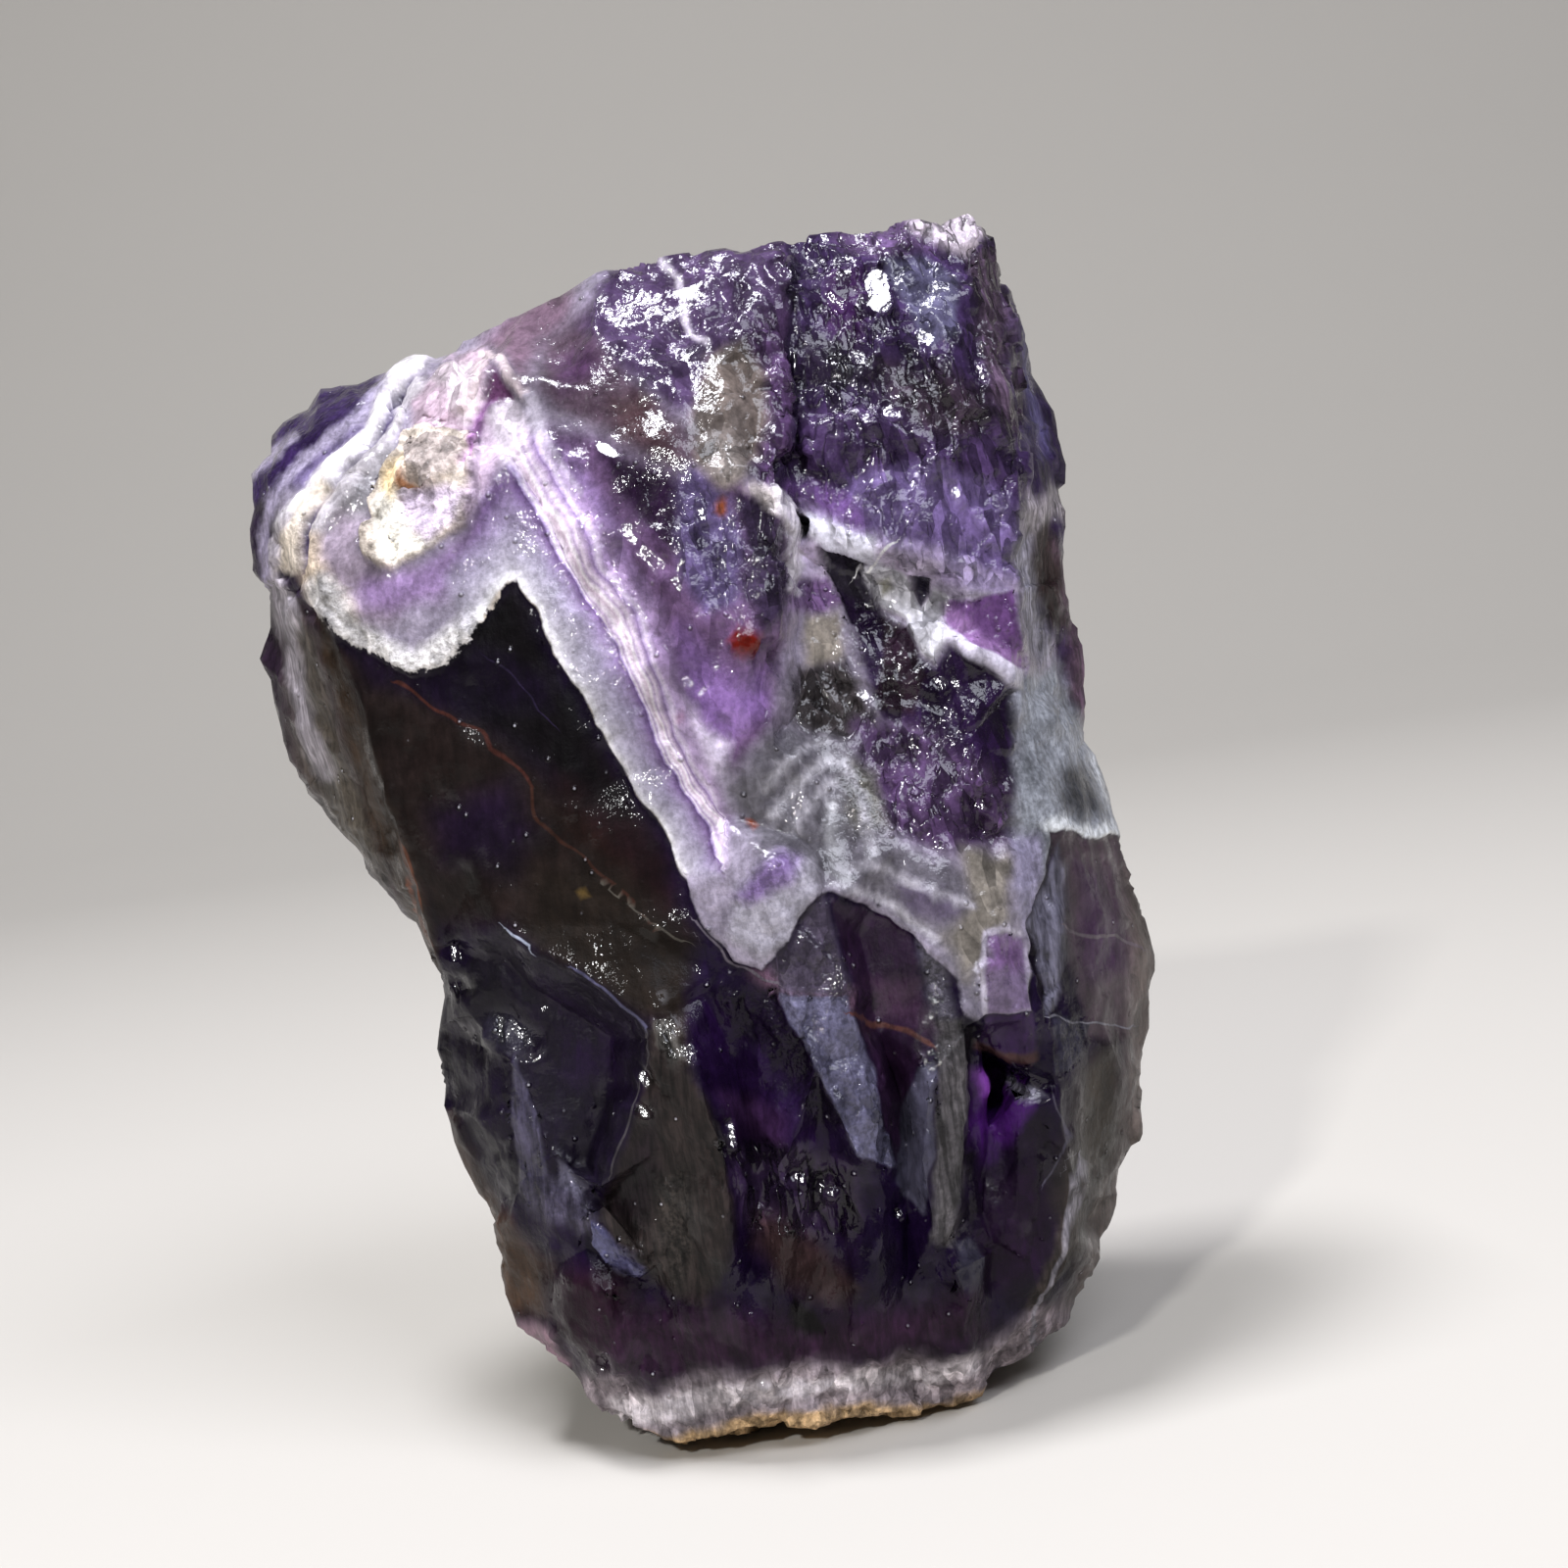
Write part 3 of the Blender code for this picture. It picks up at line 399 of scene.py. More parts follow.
# %% Coat above the growth line
ABOVE_LINE = [
    {"what": "milky grey-lilac quartz all over", "colour": "#8a8292", "etched": 0.3, "fibres": 0.15,
     "hackly": 0.15, "drained": 0.1},
    zone("left flank", "#2c2135", 1.5, [(180, 470), (262, 490), (300, 545), (318, 600), (330, 640),
        (300, 660), (180, 640)], fibres=0.5, drained=0.7),
    zone("purple lobe at the far left", "#2e2044", 1.0, [(225, 480), (250, 440), (300, 395), (345, 385),
        (392, 380), (372, 430), (340, 468), (300, 500), (250, 512)], clear=0.1, etched=0.5),
    zone("lilac at the inner edge of the lobe", "#6d6088", 1.5, [(300, 490), (345, 455), (385, 405),
        (395, 430), (350, 480), (310, 515)], strength=0.8),
    zone("grey trough of the pocket", "#7b787c", 1.4, [(330, 540), (372, 470), (398, 445), (402, 465),
        (384, 495), (376, 530), (350, 560)], lift=-0.3),
    zone("lilac floor of the pocket", "#8d808e", 1.6, [(318, 575), (350, 520), (376, 530), (370, 560),
        (400, 590), (440, 590), (400, 640), (340, 620)]),
    zone("cream rim of the pocket", "#a99a8c", 0.9, [(300, 530), (312, 528), (322, 560), (330, 600),
        (352, 640), (372, 664), (352, 662), (330, 632), (310, 590)], lift=0.25, dull=0.5),
    zone("pink top of the pocket", "#b49eac", 0.9, [(426, 410), (440, 390), (468, 362), (495, 350),
        (503, 372), (492, 410), (480, 440), (462, 446), (430, 448), (424, 432)], lift=0.35, hackly=0.5),
    zone("cream knobs at the top of the pocket", "#c4b5bd", 0.6, [(440, 392), (456, 398), (476, 428),
        (486, 440), (492, 414), (486, 372), (470, 366)], hackly=0.7),
    zone("crust", "#c0b4a8", 0.28, [(414, 448), (400, 468), (390, 486), (382, 500), (378, 514), (384, 528),
        (372, 540), (374, 568), (390, 578), (400, 584), (424, 570), (444, 555), (474, 538), (488, 512),
        (486, 470), (484, 446), (460, 436)], lift=0.7, hackly=0.5, dull=0.8),
    zone("white lump of the crust", "#dfd9cd", 0.7, [(386, 520), (396, 500), (414, 505), (422, 530),
        (444, 552), (404, 580), (390, 570)], hackly=0.6),
    zone("lilac-white lower crust", "#c2b3c5", 0.9, [(420, 502), (462, 498), (480, 505), (470, 532),
        (440, 552), (424, 530)]),
    zone("grey lump", "#a99d98", 0.28, [(420, 470), (440, 454), (466, 450), (474, 466), (462, 490),
        (444, 498), (424, 486)], lift=1.1),
    zone("yellow stain", "#e0c594", 0.9, [(394, 484), (408, 474), (416, 496), (412, 512), (398, 505)],
        strength=0.8),
    zone("rust beside the lump", "#8a5326", 0.5, [(414, 484), (430, 492), (440, 500), (432, 503),
        (416, 496)], strength=0.9),
    zone("lilac arm right of the crust", "#b5a2b5", 0.9, [(478, 500), (484, 456), (494, 420), (508, 428),
        (512, 470), (496, 506), (480, 532)]),
    zone("white star under the first peak", "#c9bec9", 1.0, [(496, 425), (520, 410), (540, 440), (545, 470),
        (520, 474), (505, 460)], hackly=0.5),
    zone("tiny mauve peak", "#5d3a5a", 0.35, [(503, 379), (512, 394), (521, 412), (507, 418), (492, 414)],
        lift=-0.4),
    zone("mauve arm under it", "#94699a", 0.6, [(490, 414), (500, 416), (490, 440), (478, 475), (470, 480),
        (478, 450)]),
    zone("mauve along the top edge", "#6f5969", 1.8, [(495, 345), (540, 300), (590, 290), (575, 330),
        (545, 360), (530, 400), (512, 370)]),
    zone("olive-brown smooth slope", "#4b3c48", 2.0, [(540, 400), (552, 345), (600, 310), (650, 390),
        (700, 430), (730, 470), (690, 482), (620, 445), (570, 425)], clear=0.1),
    zone("violet veil in the smooth slope", "#4a3050", 2.0, [(560, 375), (596, 352), (620, 385), (575, 402)],
        strength=0.8),
    zone("rusty veil in the smooth slope", "#402c2e", 1.8, [(625, 410), (660, 405), (690, 440), (690, 468),
        (640, 450)], strength=0.8, hackly=0.1),
    zone("violet mass", "#5a4562", 1.6, [(552, 430), (620, 450), (690, 485), (760, 490), (808, 510),
        (806, 640), (790, 740), (750, 790), (715, 745), (692, 690), (655, 610), (610, 520), (575, 480)],
        hackly=0.4),
    zone("lilac specks left in the mass", "#745f85", 1.4, [(556, 440), (600, 470), (640, 560), (660, 620),
        (690, 660), (680, 690), (645, 620), (610, 560), (575, 490)], hackly=0.5),
    zone("maroon dark in the mass", "#24162a", 1.5, [(618, 458), (690, 480), (712, 510), (696, 560),
        (676, 556), (640, 510)]),
    zone("etched blue sheen", "#4e4363", 1.2, [(694, 485), (710, 470), (745, 510), (762, 560), (755, 610),
        (720, 632), (696, 590), (690, 540)], etched=0.35, hackly=0.8),
    zone("dark folds beside the lip", "#2f2638", 1.2, [(745, 500), (800, 512), (806, 620), (782, 642),
        (756, 600), (764, 560)], etched=0.5, hackly=0.8),
    zone("bright violet", "#80629a", 2.0, [(694, 640), (745, 690), (790, 680), (780, 730), (740, 760),
        (705, 720)], strength=0.9),
    zone("lilac-white foot of the mass", "#d0c4da", 1.2, [(676, 700), (700, 704), (744, 762), (728, 800),
        (712, 790), (690, 745)]),
    zone("glittering slope", "#443550", 1.8, [(590, 330), (640, 250), (700, 235), (812, 220), (812, 310),
        (780, 350), (740, 430), (690, 420), (640, 385)], hackly=0.65),
    zone("purple right of the waist", "#473452", 1.5, [(760, 330), (812, 300), (812, 500), (775, 495),
        (752, 420)], hackly=0.9),
    zone("grey-olive waist", "#625950", 1.2, [(722, 360), (752, 345), (776, 380), (782, 450), (760, 490),
        (735, 500), (712, 470), (704, 420)], strength=0.85, hackly=0.6),
    zone("pale patch in the waist", "#857d79", 1.2, [(722, 440), (750, 450), (762, 480), (740, 495),
        (724, 470)], strength=0.8, etched=0.6),
    zone("white crust on the lip", "#bdb4b4", 0.7, [(762, 498), (780, 492), (798, 502), (800, 522),
        (785, 515)], dull=0.6),
    zone("block at the upper right", "#352746", 0.8, [(802, 205), (1015, 195), (1030, 330), (1045, 470),
        (1045, 600), (960, 592), (900, 562), (850, 545), (806, 508), (808, 350)], clear=0.1, hackly=0.9),
    zone("plum glow in the block", "#2f1b3b", 1.5, [(838, 275), (880, 270), (885, 320), (870, 360),
        (840, 330)]),
    zone("near-black seam of the block", "#201a26", 1.6, [(812, 330), (850, 340), (890, 372), (900, 395),
        (860, 400), (820, 395)], strength=0.9),
    zone("brown shade in the block", "#33292f", 2.2, [(890, 370), (960, 380), (1010, 400), (1010, 450),
        (940, 440), (900, 410)], strength=0.8),
    # The slate blue of these facets is a painted reflection of the window that they mirror.
    zone("slate facets of the block", "#47445a", 0.7, [(898, 262), (940, 258), (975, 285), (978, 345),
        (950, 362), (935, 345), (912, 300)], etched=0.2, hackly=0.9),
    zone("plum at the top edge", "#5f4a6e", 1.2, [(850, 215), (940, 215), (975, 250), (900, 256),
        (850, 250)]),
    zone("white crumbs at the top corner", "#cfc1ce", 0.7, [(922, 232), (950, 205), (1005, 205),
        (1012, 235), (990, 262), (955, 245)], lift=0.3, hackly=1.0),
    zone("brown streaks at the block's right edge", "#4b3d4d", 1.2, [(990, 262), (1016, 250), (1030, 330),
        (1040, 440), (1018, 440), (1000, 340)], fibres=0.8),
    zone("violet-grey middle of the block", "#403050", 1.6, [(812, 420), (880, 410), (940, 440),
        (1020, 440), (1040, 500), (960, 500), (870, 480), (808, 500)]),
    zone("violet facets at the foot of the block", "#605078", 1.4, [(870, 480), (940, 470), (1010, 490),
        (1042, 540), (1040, 600), (980, 586), (900, 556), (860, 520)], hackly=0.8),
    zone("bright purple left foot of the block", "#64497b", 1.0, [(802, 488), (840, 492), (884, 520),
        (884, 545), (850, 535), (812, 510)], hackly=0.6),
    zone("lavender fade along the foot", "#9c8db0", 1.0, [(822, 512), (850, 530), (890, 542), (950, 556),
        (1000, 574), (1030, 592), (1028, 606), (960, 594), (900, 562), (850, 545)]),
    zone("white hem of the block", "#cbc9d5", 0.6, [(828, 528), (850, 535), (893, 548), (900, 562),
        (930, 585), (900, 585), (886, 572), (846, 560), (828, 548)], lift=0.1),
    zone("lilac behind the net", "#cbbcd6", 0.8, [(893, 555), (960, 575), (955, 600), (930, 590),
        (900, 575)]),
    zone("ragged white net", "#c6c4cb", 0.3, [(876, 572), (925, 584), (930, 592), (944, 625), (956, 600),
        (972, 610), (968, 648), (952, 676), (936, 664), (924, 632), (894, 620), (878, 594)], lift=0.3,
        hackly=0.8),
    zone("olive patch in the net", "#77756c", 0.6, [(892, 588), (908, 586), (912, 604), (898, 612)]),
    zone("black notch beside the lip", "#151519", 0.25, [(803, 516), (830, 534), (824, 552), (806, 550)],
        lift=-0.5),
    zone("lilac knob below the notch", "#bfb0ca", 0.7, [(806, 554), (836, 552), (842, 585), (836, 600),
        (810, 600)], lift=0.3),
    zone("purple foot of the knob", "#674f74", 0.9, [(808, 590), (842, 590), (858, 620), (830, 632),
        (808, 620)], hackly=0.8),
    zone("black wedge", "#2b2731", 0.25, [(837, 560), (884, 572), (876, 590), (892, 618), (896, 640),
        (868, 640), (846, 590)], lift=-0.5, hackly=0.5),
    zone("black wedge in the net", "#2b2735", 0.3, [(930, 588), (953, 595), (944, 620)], lift=-0.5),
    zone("purple triangle", "#5f416e", 0.3, [(970, 614), (1026, 602), (1040, 690), (1005, 672), (972, 640)],
        hackly=0.3),
    zone("lilac fade in the triangle", "#92709f", 0.9, [(966, 618), (985, 622), (1010, 655), (1040, 672),
        (1040, 690), (1005, 672), (968, 644)], strength=0.8),
    zone("white hem of the triangle", "#cdc6d6", 0.3, [(966, 636), (980, 644), (1005, 664), (1040, 684),
        (1038, 704), (1004, 684), (968, 655)], lift=0.2),
    zone("dark crystals in the hollow", "#231630", 0.9, [(850, 598), (894, 625), (935, 668), (950, 680),
        (970, 652), (1036, 705), (1038, 850), (960, 760), (905, 740), (880, 680)], clear=0.1, hackly=0.7),
    zone("dark brown crystal", "#281b26", 0.4, [(896, 634), (928, 642), (942, 690), (935, 735), (898, 725)]),
    zone("grey-beige patch", "#8d857c", 0.9, [(818, 632), (852, 630), (858, 672), (822, 680)], hackly=0.6),
    zone("dark grit below the patch", "#3b3637", 1.2, [(812, 680), (862, 670), (900, 740), (870, 760),
        (800, 740)], hackly=0.9),
    zone("grey glassy centre", "#5c5960", 2.0, [(770, 770), (800, 740), (865, 755), (900, 790), (895, 860),
        (840, 905), (770, 860), (745, 810)], etched=0.3, hackly=0.35),
    zone("rough purple in the middle", "#473552", 2.0, [(870, 735), (950, 745), (1035, 800), (1035, 860),
        (960, 870), (890, 850)], hackly=0.9),
    zone("olive grit in the middle", "#5e5c58", 1.6, [(858, 780), (890, 790), (902, 850), (866, 860)],
        etched=0.8, hackly=0.3),
    zone("milky saddle over the second peak", "#625e67", 1.8, [(845, 850), (900, 850), (960, 880),
        (1000, 890), (1035, 930), (990, 1035), (950, 955), (880, 910), (845, 905)]),
    zone("lilac haze on the saddle", "#51455d", 1.6, [(915, 895), (960, 905), (985, 940), (960, 945),
        (925, 925)], strength=0.7),
    zone("grey-olive grit at the right of the saddle", "#736d66", 1.4, [(985, 860), (1030, 870),
        (1025, 950), (985, 1000), (965, 960), (990, 930)], hackly=0.5),
    zone("oval tongue", "#98949f", 1.0, [(752, 900), (790, 866), (828, 880), (838, 912), (802, 965),
        (776, 985), (742, 960)], lift=0.35, etched=0.4),
    zone("violet top of the tongue", "#75618c", 1.2, [(768, 890), (788, 868), (812, 874), (806, 900),
        (770, 916), (750, 912)], etched=0.6),
    zone("lilac box", "#73637f", 0.3, [(1003, 952), (1042, 948), (1050, 1030), (1003, 1036)], clear=0.1),
    zone("violet top of the box", "#745882", 1.0, [(1006, 955), (1040, 952), (1044, 985), (1008, 988)]),
    zone("right flank", "#2f2340", 1.4, [(1018, 225), (1120, 380), (1130, 640), (1140, 760), (1100, 730),
        (1060, 640), (1046, 500), (1030, 350)], clear=0.0, fibres=0.5, hackly=0.4, drained=0.85),
    zone("blue streak on the right flank", "#5f5a80", 1.2, [(1036, 330), (1046, 360), (1060, 430),
        (1064, 470), (1044, 430)], strength=0.7),
    zone("grey-white layer across the right flank", "#8a8389", 1.4, [(1040, 495), (1060, 505), (1100, 490),
        (1104, 528), (1068, 536), (1050, 560), (1040, 600)], fibres=1.0, drained=0.7),
    zone("olive-brown seam on the right flank", "#2e2424", 1.0, [(1050, 540), (1072, 530), (1092, 600),
        (1088, 650), (1066, 640), (1050, 590)], fibres=0.8, drained=0.9),
    zone("white-grey streak on the right arris", "#807d88", 0.9, [(1030, 555), (1048, 545), (1062, 630),
        (1072, 670), (1056, 676), (1036, 640)], fibres=1.0, drained=0.6),
    zone("plum edge of the right flank", "#5f4a5a", 1.0, [(1076, 560), (1100, 600), (1112, 720),
        (1132, 790), (1108, 760), (1090, 690)], fibres=0.6, drained=0.9),
    zone("pale grey zone at the right", "#858890", 1.4, [(1036, 690), (1080, 680), (1120, 770), (1150, 858),
        (1080, 860), (1062, 905), (1045, 930), (1034, 800)], etched=0.5, fibres=0.3, drained=0.6),
    zone("dark window in the grey zone", "#45464b", 1.4, [(1072, 782), (1106, 785), (1118, 828),
        (1078, 832)]),
    zone("white shoulder of the grey zone", "#b0b2b6", 0.8, [(1105, 765), (1125, 780), (1150, 850),
        (1135, 848), (1118, 800)]),
    zone("lilac-grey along the lower right arris", "#8f89a2", 1.0, [(1030, 850), (1060, 850), (1058, 920),
        (1048, 950), (1030, 900)]),
]

# %% [markdown]
# Streaks are runs of picture points with a width in mm. Wide ones and round spots belong to the coats. Fine
# ones, such as mineral veins and painted highlights along the rims of crystal faces, are finer than the mesh,
# so the shader draws them from the distance to the nearest one.

# %% Streaks
def streak(what, colour, width, edge, run, coat="above", **surface):
    """A streak along a run of picture points. It ends over its edge, in mm."""
    return {"what": what, "coat": coat, "colour": colour, "radius": width / 2, "edge": edge, "run": run,
            **surface}


STREAKS = [
    streak("purple shade under the crust", "#7b6689", 0.9, 1.8, [(384, 604), (404, 608), (440, 594),
        (478, 564), (502, 534), (518, 500)]),
    streak("cream left end of the rim", "#cdbba8", 1.0, 1.2, [(312, 548), (318, 575), (332, 606),
        (350, 632)], lift=0.2, hackly=0.4, dull=0.6),
    streak("white crumbly rim of the pocket", "#cfcbca", 1.3, 1.0, [(330, 604), (350, 638), (372, 656),
        (400, 672), (418, 684), (444, 670), (472, 650), (488, 634)], lift=0.2, hackly=0.5, dull=0.8),
    # Painted shade: a dark line along the step where the slope meets the block.
    streak("dark step at the left of the block", "#2a2036", 0.2, 0.5, [(808, 215), (810, 300), (807, 400),
        (804, 495)], lift=-0.2),
    streak("white streak on the left lobe", "#ece6ea", 0.8, 0.7, [(424, 376), (404, 394), (390, 430),
        (378, 456), (352, 481), (320, 510), (298, 535)], lift=0.45),
    streak("its tail down the flank", "#b8b0b8", 0.4, 0.5, [(298, 535), (288, 560), (284, 605)], lift=0.25),
    streak("dark line inside the streak", "#463c5c", 0.4, 0.3, [(424, 394), (400, 422), (388, 448),
        (362, 482), (332, 512), (312, 540), (306, 580)], lift=-0.4),
    streak("outer grey streak", "#9a91a8", 0.3, 0.5, [(395, 392), (368, 430), (342, 452), (312, 474),
        (285, 502), (272, 545), (280, 600)]),
    streak("inner pale streak", "#b5afb4", 0.4, 0.5, [(430, 398), (410, 426), (396, 450), (370, 478),
        (345, 508), (326, 535)], lift=0.3),
    streak("peach streak", "#d2c6b8", 0.5, 0.4, [(336, 498), (314, 520), (300, 545), (300, 580)], lift=0.3),
    streak("far left edge", "#8d8598", 0.3, 0.4, [(244, 505), (258, 480), (285, 462), (300, 448)]),
    streak("white line at the top", "#b9b0bd", 0.2, 0.35, [(668, 255), (690, 285), (700, 320), (722, 345)],
        lift=0.1),
    streak("pale arch over the tiny peak", "#cdbcc0", 0.35, 0.3, [(478, 420), (488, 380), (496, 364),
        (508, 370), (520, 396), (534, 410)], lift=0.25),
    streak("grey-white line right of the star", "#b3abb9", 0.6, 0.5, [(538, 412), (550, 440), (572, 470),
        (590, 500)]),
    streak("white lip", "#cfc9cf", 0.4, 0.4, [(796, 498), (806, 512), (812, 550), (806, 600)], lift=0.25),
    streak("centre streak", "#a09da4", 0.2, 0.4, [(790, 828), (815, 800), (848, 772)]),
    streak("second centre streak", "#97949b", 0.15, 0.4, [(782, 800), (808, 776), (840, 752)]),
    streak("third centre streak", "#a3a2a7", 0.3, 0.6, [(846, 826), (844, 850), (850, 875), (862, 900)]),
    streak("fourth centre streak", "#918e95", 0.15, 0.4, [(800, 850), (822, 822), (850, 798)]),
    streak("thread right of the centre", "#918e95", 0.2, 0.4, [(858, 780), (880, 830), (886, 880)]),
    streak("streak over the saddle", "#9c98a1", 0.15, 0.4, [(852, 882), (900, 888), (950, 904), (990, 930)]),
    streak("second streak over the saddle", "#a4a0a9", 0.15, 0.4, [(850, 905), (890, 912), (930, 932),
        (958, 962)]),
    streak("light frame of the lilac box", "#aaa3b1", 0.15, 0.3, [(1002, 1036), (1000, 990), (1004, 952),
        (1022, 945), (1042, 950)]),
    streak("white hem above the right crystal", "#cdd0d4", 0.6, 0.5, [(1072, 846), (1110, 848), (1146, 852)]),
    streak("veil across the left flank", "#8f8990", 0.5, 0.8, [(275, 560), (290, 620), (300, 680),
        (312, 740), (330, 790)], coat="below"),
]

# %% Fine lines
def fine_line(what, colour, width, run, coat="below"):
    """A line that is finer than the mesh."""
    return {"what": what, "coat": coat, "colour": colour, "radius": width / 2, "run": run}


FINE_LINES = [
    fine_line("red vein", "#3a211d", 0.24, [(403, 700), (420, 708), (444, 724), (470, 736), (487, 746),
        (500, 765), (528, 786), (541, 803)]),
    fine_line("brown vein", "#33211c", 0.2, [(541, 803), (552, 836), (575, 860), (604, 884), (640, 905),
        (672, 948)]),
    fine_line("vein of the left strip", "#5f3b2d", 0.25, [(408, 856), (420, 890), (427, 926), (438, 962)]),
    fine_line("vein of the dark gem", "#533430", 0.36, [(872, 1034), (890, 1042), (910, 1046), (930, 1052),
        (946, 1064)]),
    fine_line("faint scratch in the left crystal", "#241d30", 0.12, [(500, 670), (530, 700), (560, 738)]),
    fine_line("faint scratch above the scoop", "#4a4640", 0.12, [(600, 890), (650, 925), (700, 962)]),
    # The rims of the scoop are painted highlights: pale lines where the wet crystal edges catch the light,
    # partly the whitish grit of chipped edges.
    fine_line("rim of the scoop, upper", "#8b90a0", 0.16, [(514, 948), (530, 958), (547, 974)]),
    fine_line("rim of the scoop, middle", "#4d4b62", 0.22, [(588, 995), (615, 1012), (648, 1036),
        (658, 1046)]),
    fine_line("rim of the scoop, lower", "#403c40", 0.14, [(660, 1052), (661, 1075), (648, 1100),
        (640, 1135), (628, 1170), (620, 1200)]),
    # Painted highlight along the edge under the right crystal.
    fine_line("hem under the right crystal", "#6f6d75", 0.14, [(1072, 1040), (1090, 1046), (1120, 1044),
        (1160, 1048)]),
    fine_line("streak in the right crystal", "#5c5359", 0.2, [(1090, 945), (1125, 952), (1165, 966)]),
    # Painted highlight along the arris of the right rim.
    fine_line("arris of the right rim", "#77737a", 0.35, [(1100, 1180), (1096, 1230), (1080, 1285),
        (1066, 1330), (1056, 1372)]),
    # Painted highlight along the rim under the pocket.
    fine_line("rim under the pocket", "#3c3844", 0.15, [(1076, 1112), (1090, 1160), (1072, 1206)]),
    fine_line("scratch below the tongue", "#5d5660", 0.14, [(708, 940), (740, 985), (790, 1006)]),
    fine_line("white scratch over the net", "#f4f2f2", 0.14, [(872, 590), (892, 572), (910, 552)],
        coat="above"),
]

# %% Spots
def spot(what, colour, radius, edge, at, coat="above", **surface):
    """A round spot about one picture point."""
    return {"what": what, "coat": coat, "colour": colour, "radius": radius, "edge": edge, "at": at, **surface}


SPOTS = [
    spot("dark red bead", "#5a1914", 0.8, 0.5, (761, 652), lift=0.4, hackly=0.2),
    spot("orange speck", "#a4522c", 0.25, 0.3, (697, 733)),
    spot("second orange speck", "#9a4a28", 0.22, 0.3, (766, 840)),
    spot("rust beside the sheen", "#6b3a26", 0.25, 0.6, (732, 515)),
    spot("black pit", "#120c12", 0.14, 0.25, (801, 890)),
    spot("second black pit", "#120c12", 0.1, 0.25, (898, 922)),
    spot("gold fleck", "#8a6f3a", 0.14, 0.25, (588, 913), coat="below"),
]

# %% Small mirrors
# Small faces that mirror a lamp to the eye. Each has the run of picture points that it follows, its radius in
# mm, and how much of the finest relief it keeps: with much of it, it ends softly in a swarm of sparks
MIRRORS = [
    ([(630, 322), (656, 306), (684, 318)], 0.5, 1.0), ([(716, 372), (724, 404)], 0.9, 1.0),
    ([(656, 402), (672, 410)], 0.3, 0.7), ([(700, 300), (712, 300)], 0.35, 0.5),
    ([(893, 284), (898, 308)], 0.9, 0.3), ([(795, 270), (801, 276)], 0.4, 0.5),
    ([(812, 360), (812, 382)], 0.2, 0.3), ([(860, 380), (876, 394)], 0.4, 0.8),
    ([(846, 300), (850, 306)], 0.3, 0.4), ([(1000, 376), (1002, 384)], 0.3, 0.4),
    ([(974, 500), (978, 512)], 0.35, 0.4), ([(938, 340), (946, 348)], 0.35, 0.5),
    ([(905, 420), (915, 424)], 0.3, 0.5), ([(846, 440), (856, 444)], 0.3, 0.4),
    ([(614, 456), (624, 462)], 0.35, 0.5), ([(654, 564), (674, 576)], 0.4, 0.6),
    ([(640, 548), (646, 552)], 0.3, 0.4), ([(714, 520), (718, 530)], 0.3, 0.5),
    ([(878, 706), (884, 712)], 0.4, 0.5), ([(956, 694), (962, 700)], 0.35, 0.5),
    ([(905, 610), (912, 618)], 0.3, 0.4), ([(948, 860), (960, 866)], 0.3, 0.8),
    ([(1000, 820), (1006, 826)], 0.35, 0.5), ([(930, 760), (936, 766)], 0.3, 0.4),
    ([(463, 968), (464, 978)], 0.2, 0.6), ([(467, 1004), (470, 1010)], 0.2, 0.7),
    ([(510, 1046), (540, 1064)], 0.3, 0.9), ([(677, 1046), (690, 1062)], 0.5, 0.4),
    ([(696, 1072), (698, 1076)], 0.4, 0.6), ([(655, 1098), (658, 1104)], 0.35, 0.5),
    ([(654, 1132), (658, 1138)], 0.35, 0.5), ([(744, 1148), (749, 1168)], 0.3, 0.3),
    ([(812, 1200), (826, 1206)], 0.3, 0.6), ([(836, 1208), (848, 1218)], 0.35, 0.6),
    ([(917, 1238), (919, 1240)], 0.25, 0.3), ([(670, 460), (700, 480)], 0.3, 0.9),
    ([(1036, 1100), (1064, 1108)], 0.4, 0.7), ([(614, 1390), (615, 1398)], 0.15, 0.6),
    ([(779, 1409), (780, 1413)], 0.15, 0.6),
]

# %% [markdown]
# ## The growth lines
#
# The zig-zags that give the stone its name are old outlines of the crystals. Dark amethyst lies below the
# first. Milky quartz grew on top, and where it paused and started again it left a second and a third line.
# Between two lines the colour depends only on how far along the way a place is from one to the next.

# %% Three growth lines, from left to right
FIRST_LINE = [
    (200, 560), (310, 612), (345, 645), (360, 655), (385, 670), (400, 680), (418, 692), (440, 680),
    (470, 662), (490, 645), (505, 620), (520, 597), (527, 593), (540, 612), (555, 635), (571, 665),
    (594, 706), (620, 758), (644, 806), (673, 844), (697, 897), (708, 932), (726, 961), (752, 988),
    (776, 994), (791, 976), (817, 935), (840, 915), (850, 912), (870, 917), (908, 935), (931, 950),
    (946, 973), (978, 1002), (984, 1032), (992, 1043), (1003, 1036), (1048, 1032), (1052, 1000),
    (1050, 940), (1062, 900), (1072, 850), (1142, 855), (1230, 870),
]
SECOND_LINE = [
    (371, 571), (390, 583), (402, 586), (424, 572), (444, 557), (476, 540), (491, 514), (506, 496),
    (519, 475), (530, 489), (547, 522), (567, 557), (588, 594), (602, 616), (614, 641), (627, 665),
    (643, 696), (653, 718), (670, 759), (688, 797), (717, 847), (729, 870),
]
THIRD_LINE = [
    (462, 500), (473, 473), (478, 456), (492, 412), (503, 378), (512, 383), (522, 401), (540, 434),
    (561, 471), (578, 502), (596, 535), (608, 559), (614, 580), (631, 610), (643, 624), (655, 655),
    (669, 686), (677, 712), (688, 739), (694, 756), (708, 791), (724, 820),
]
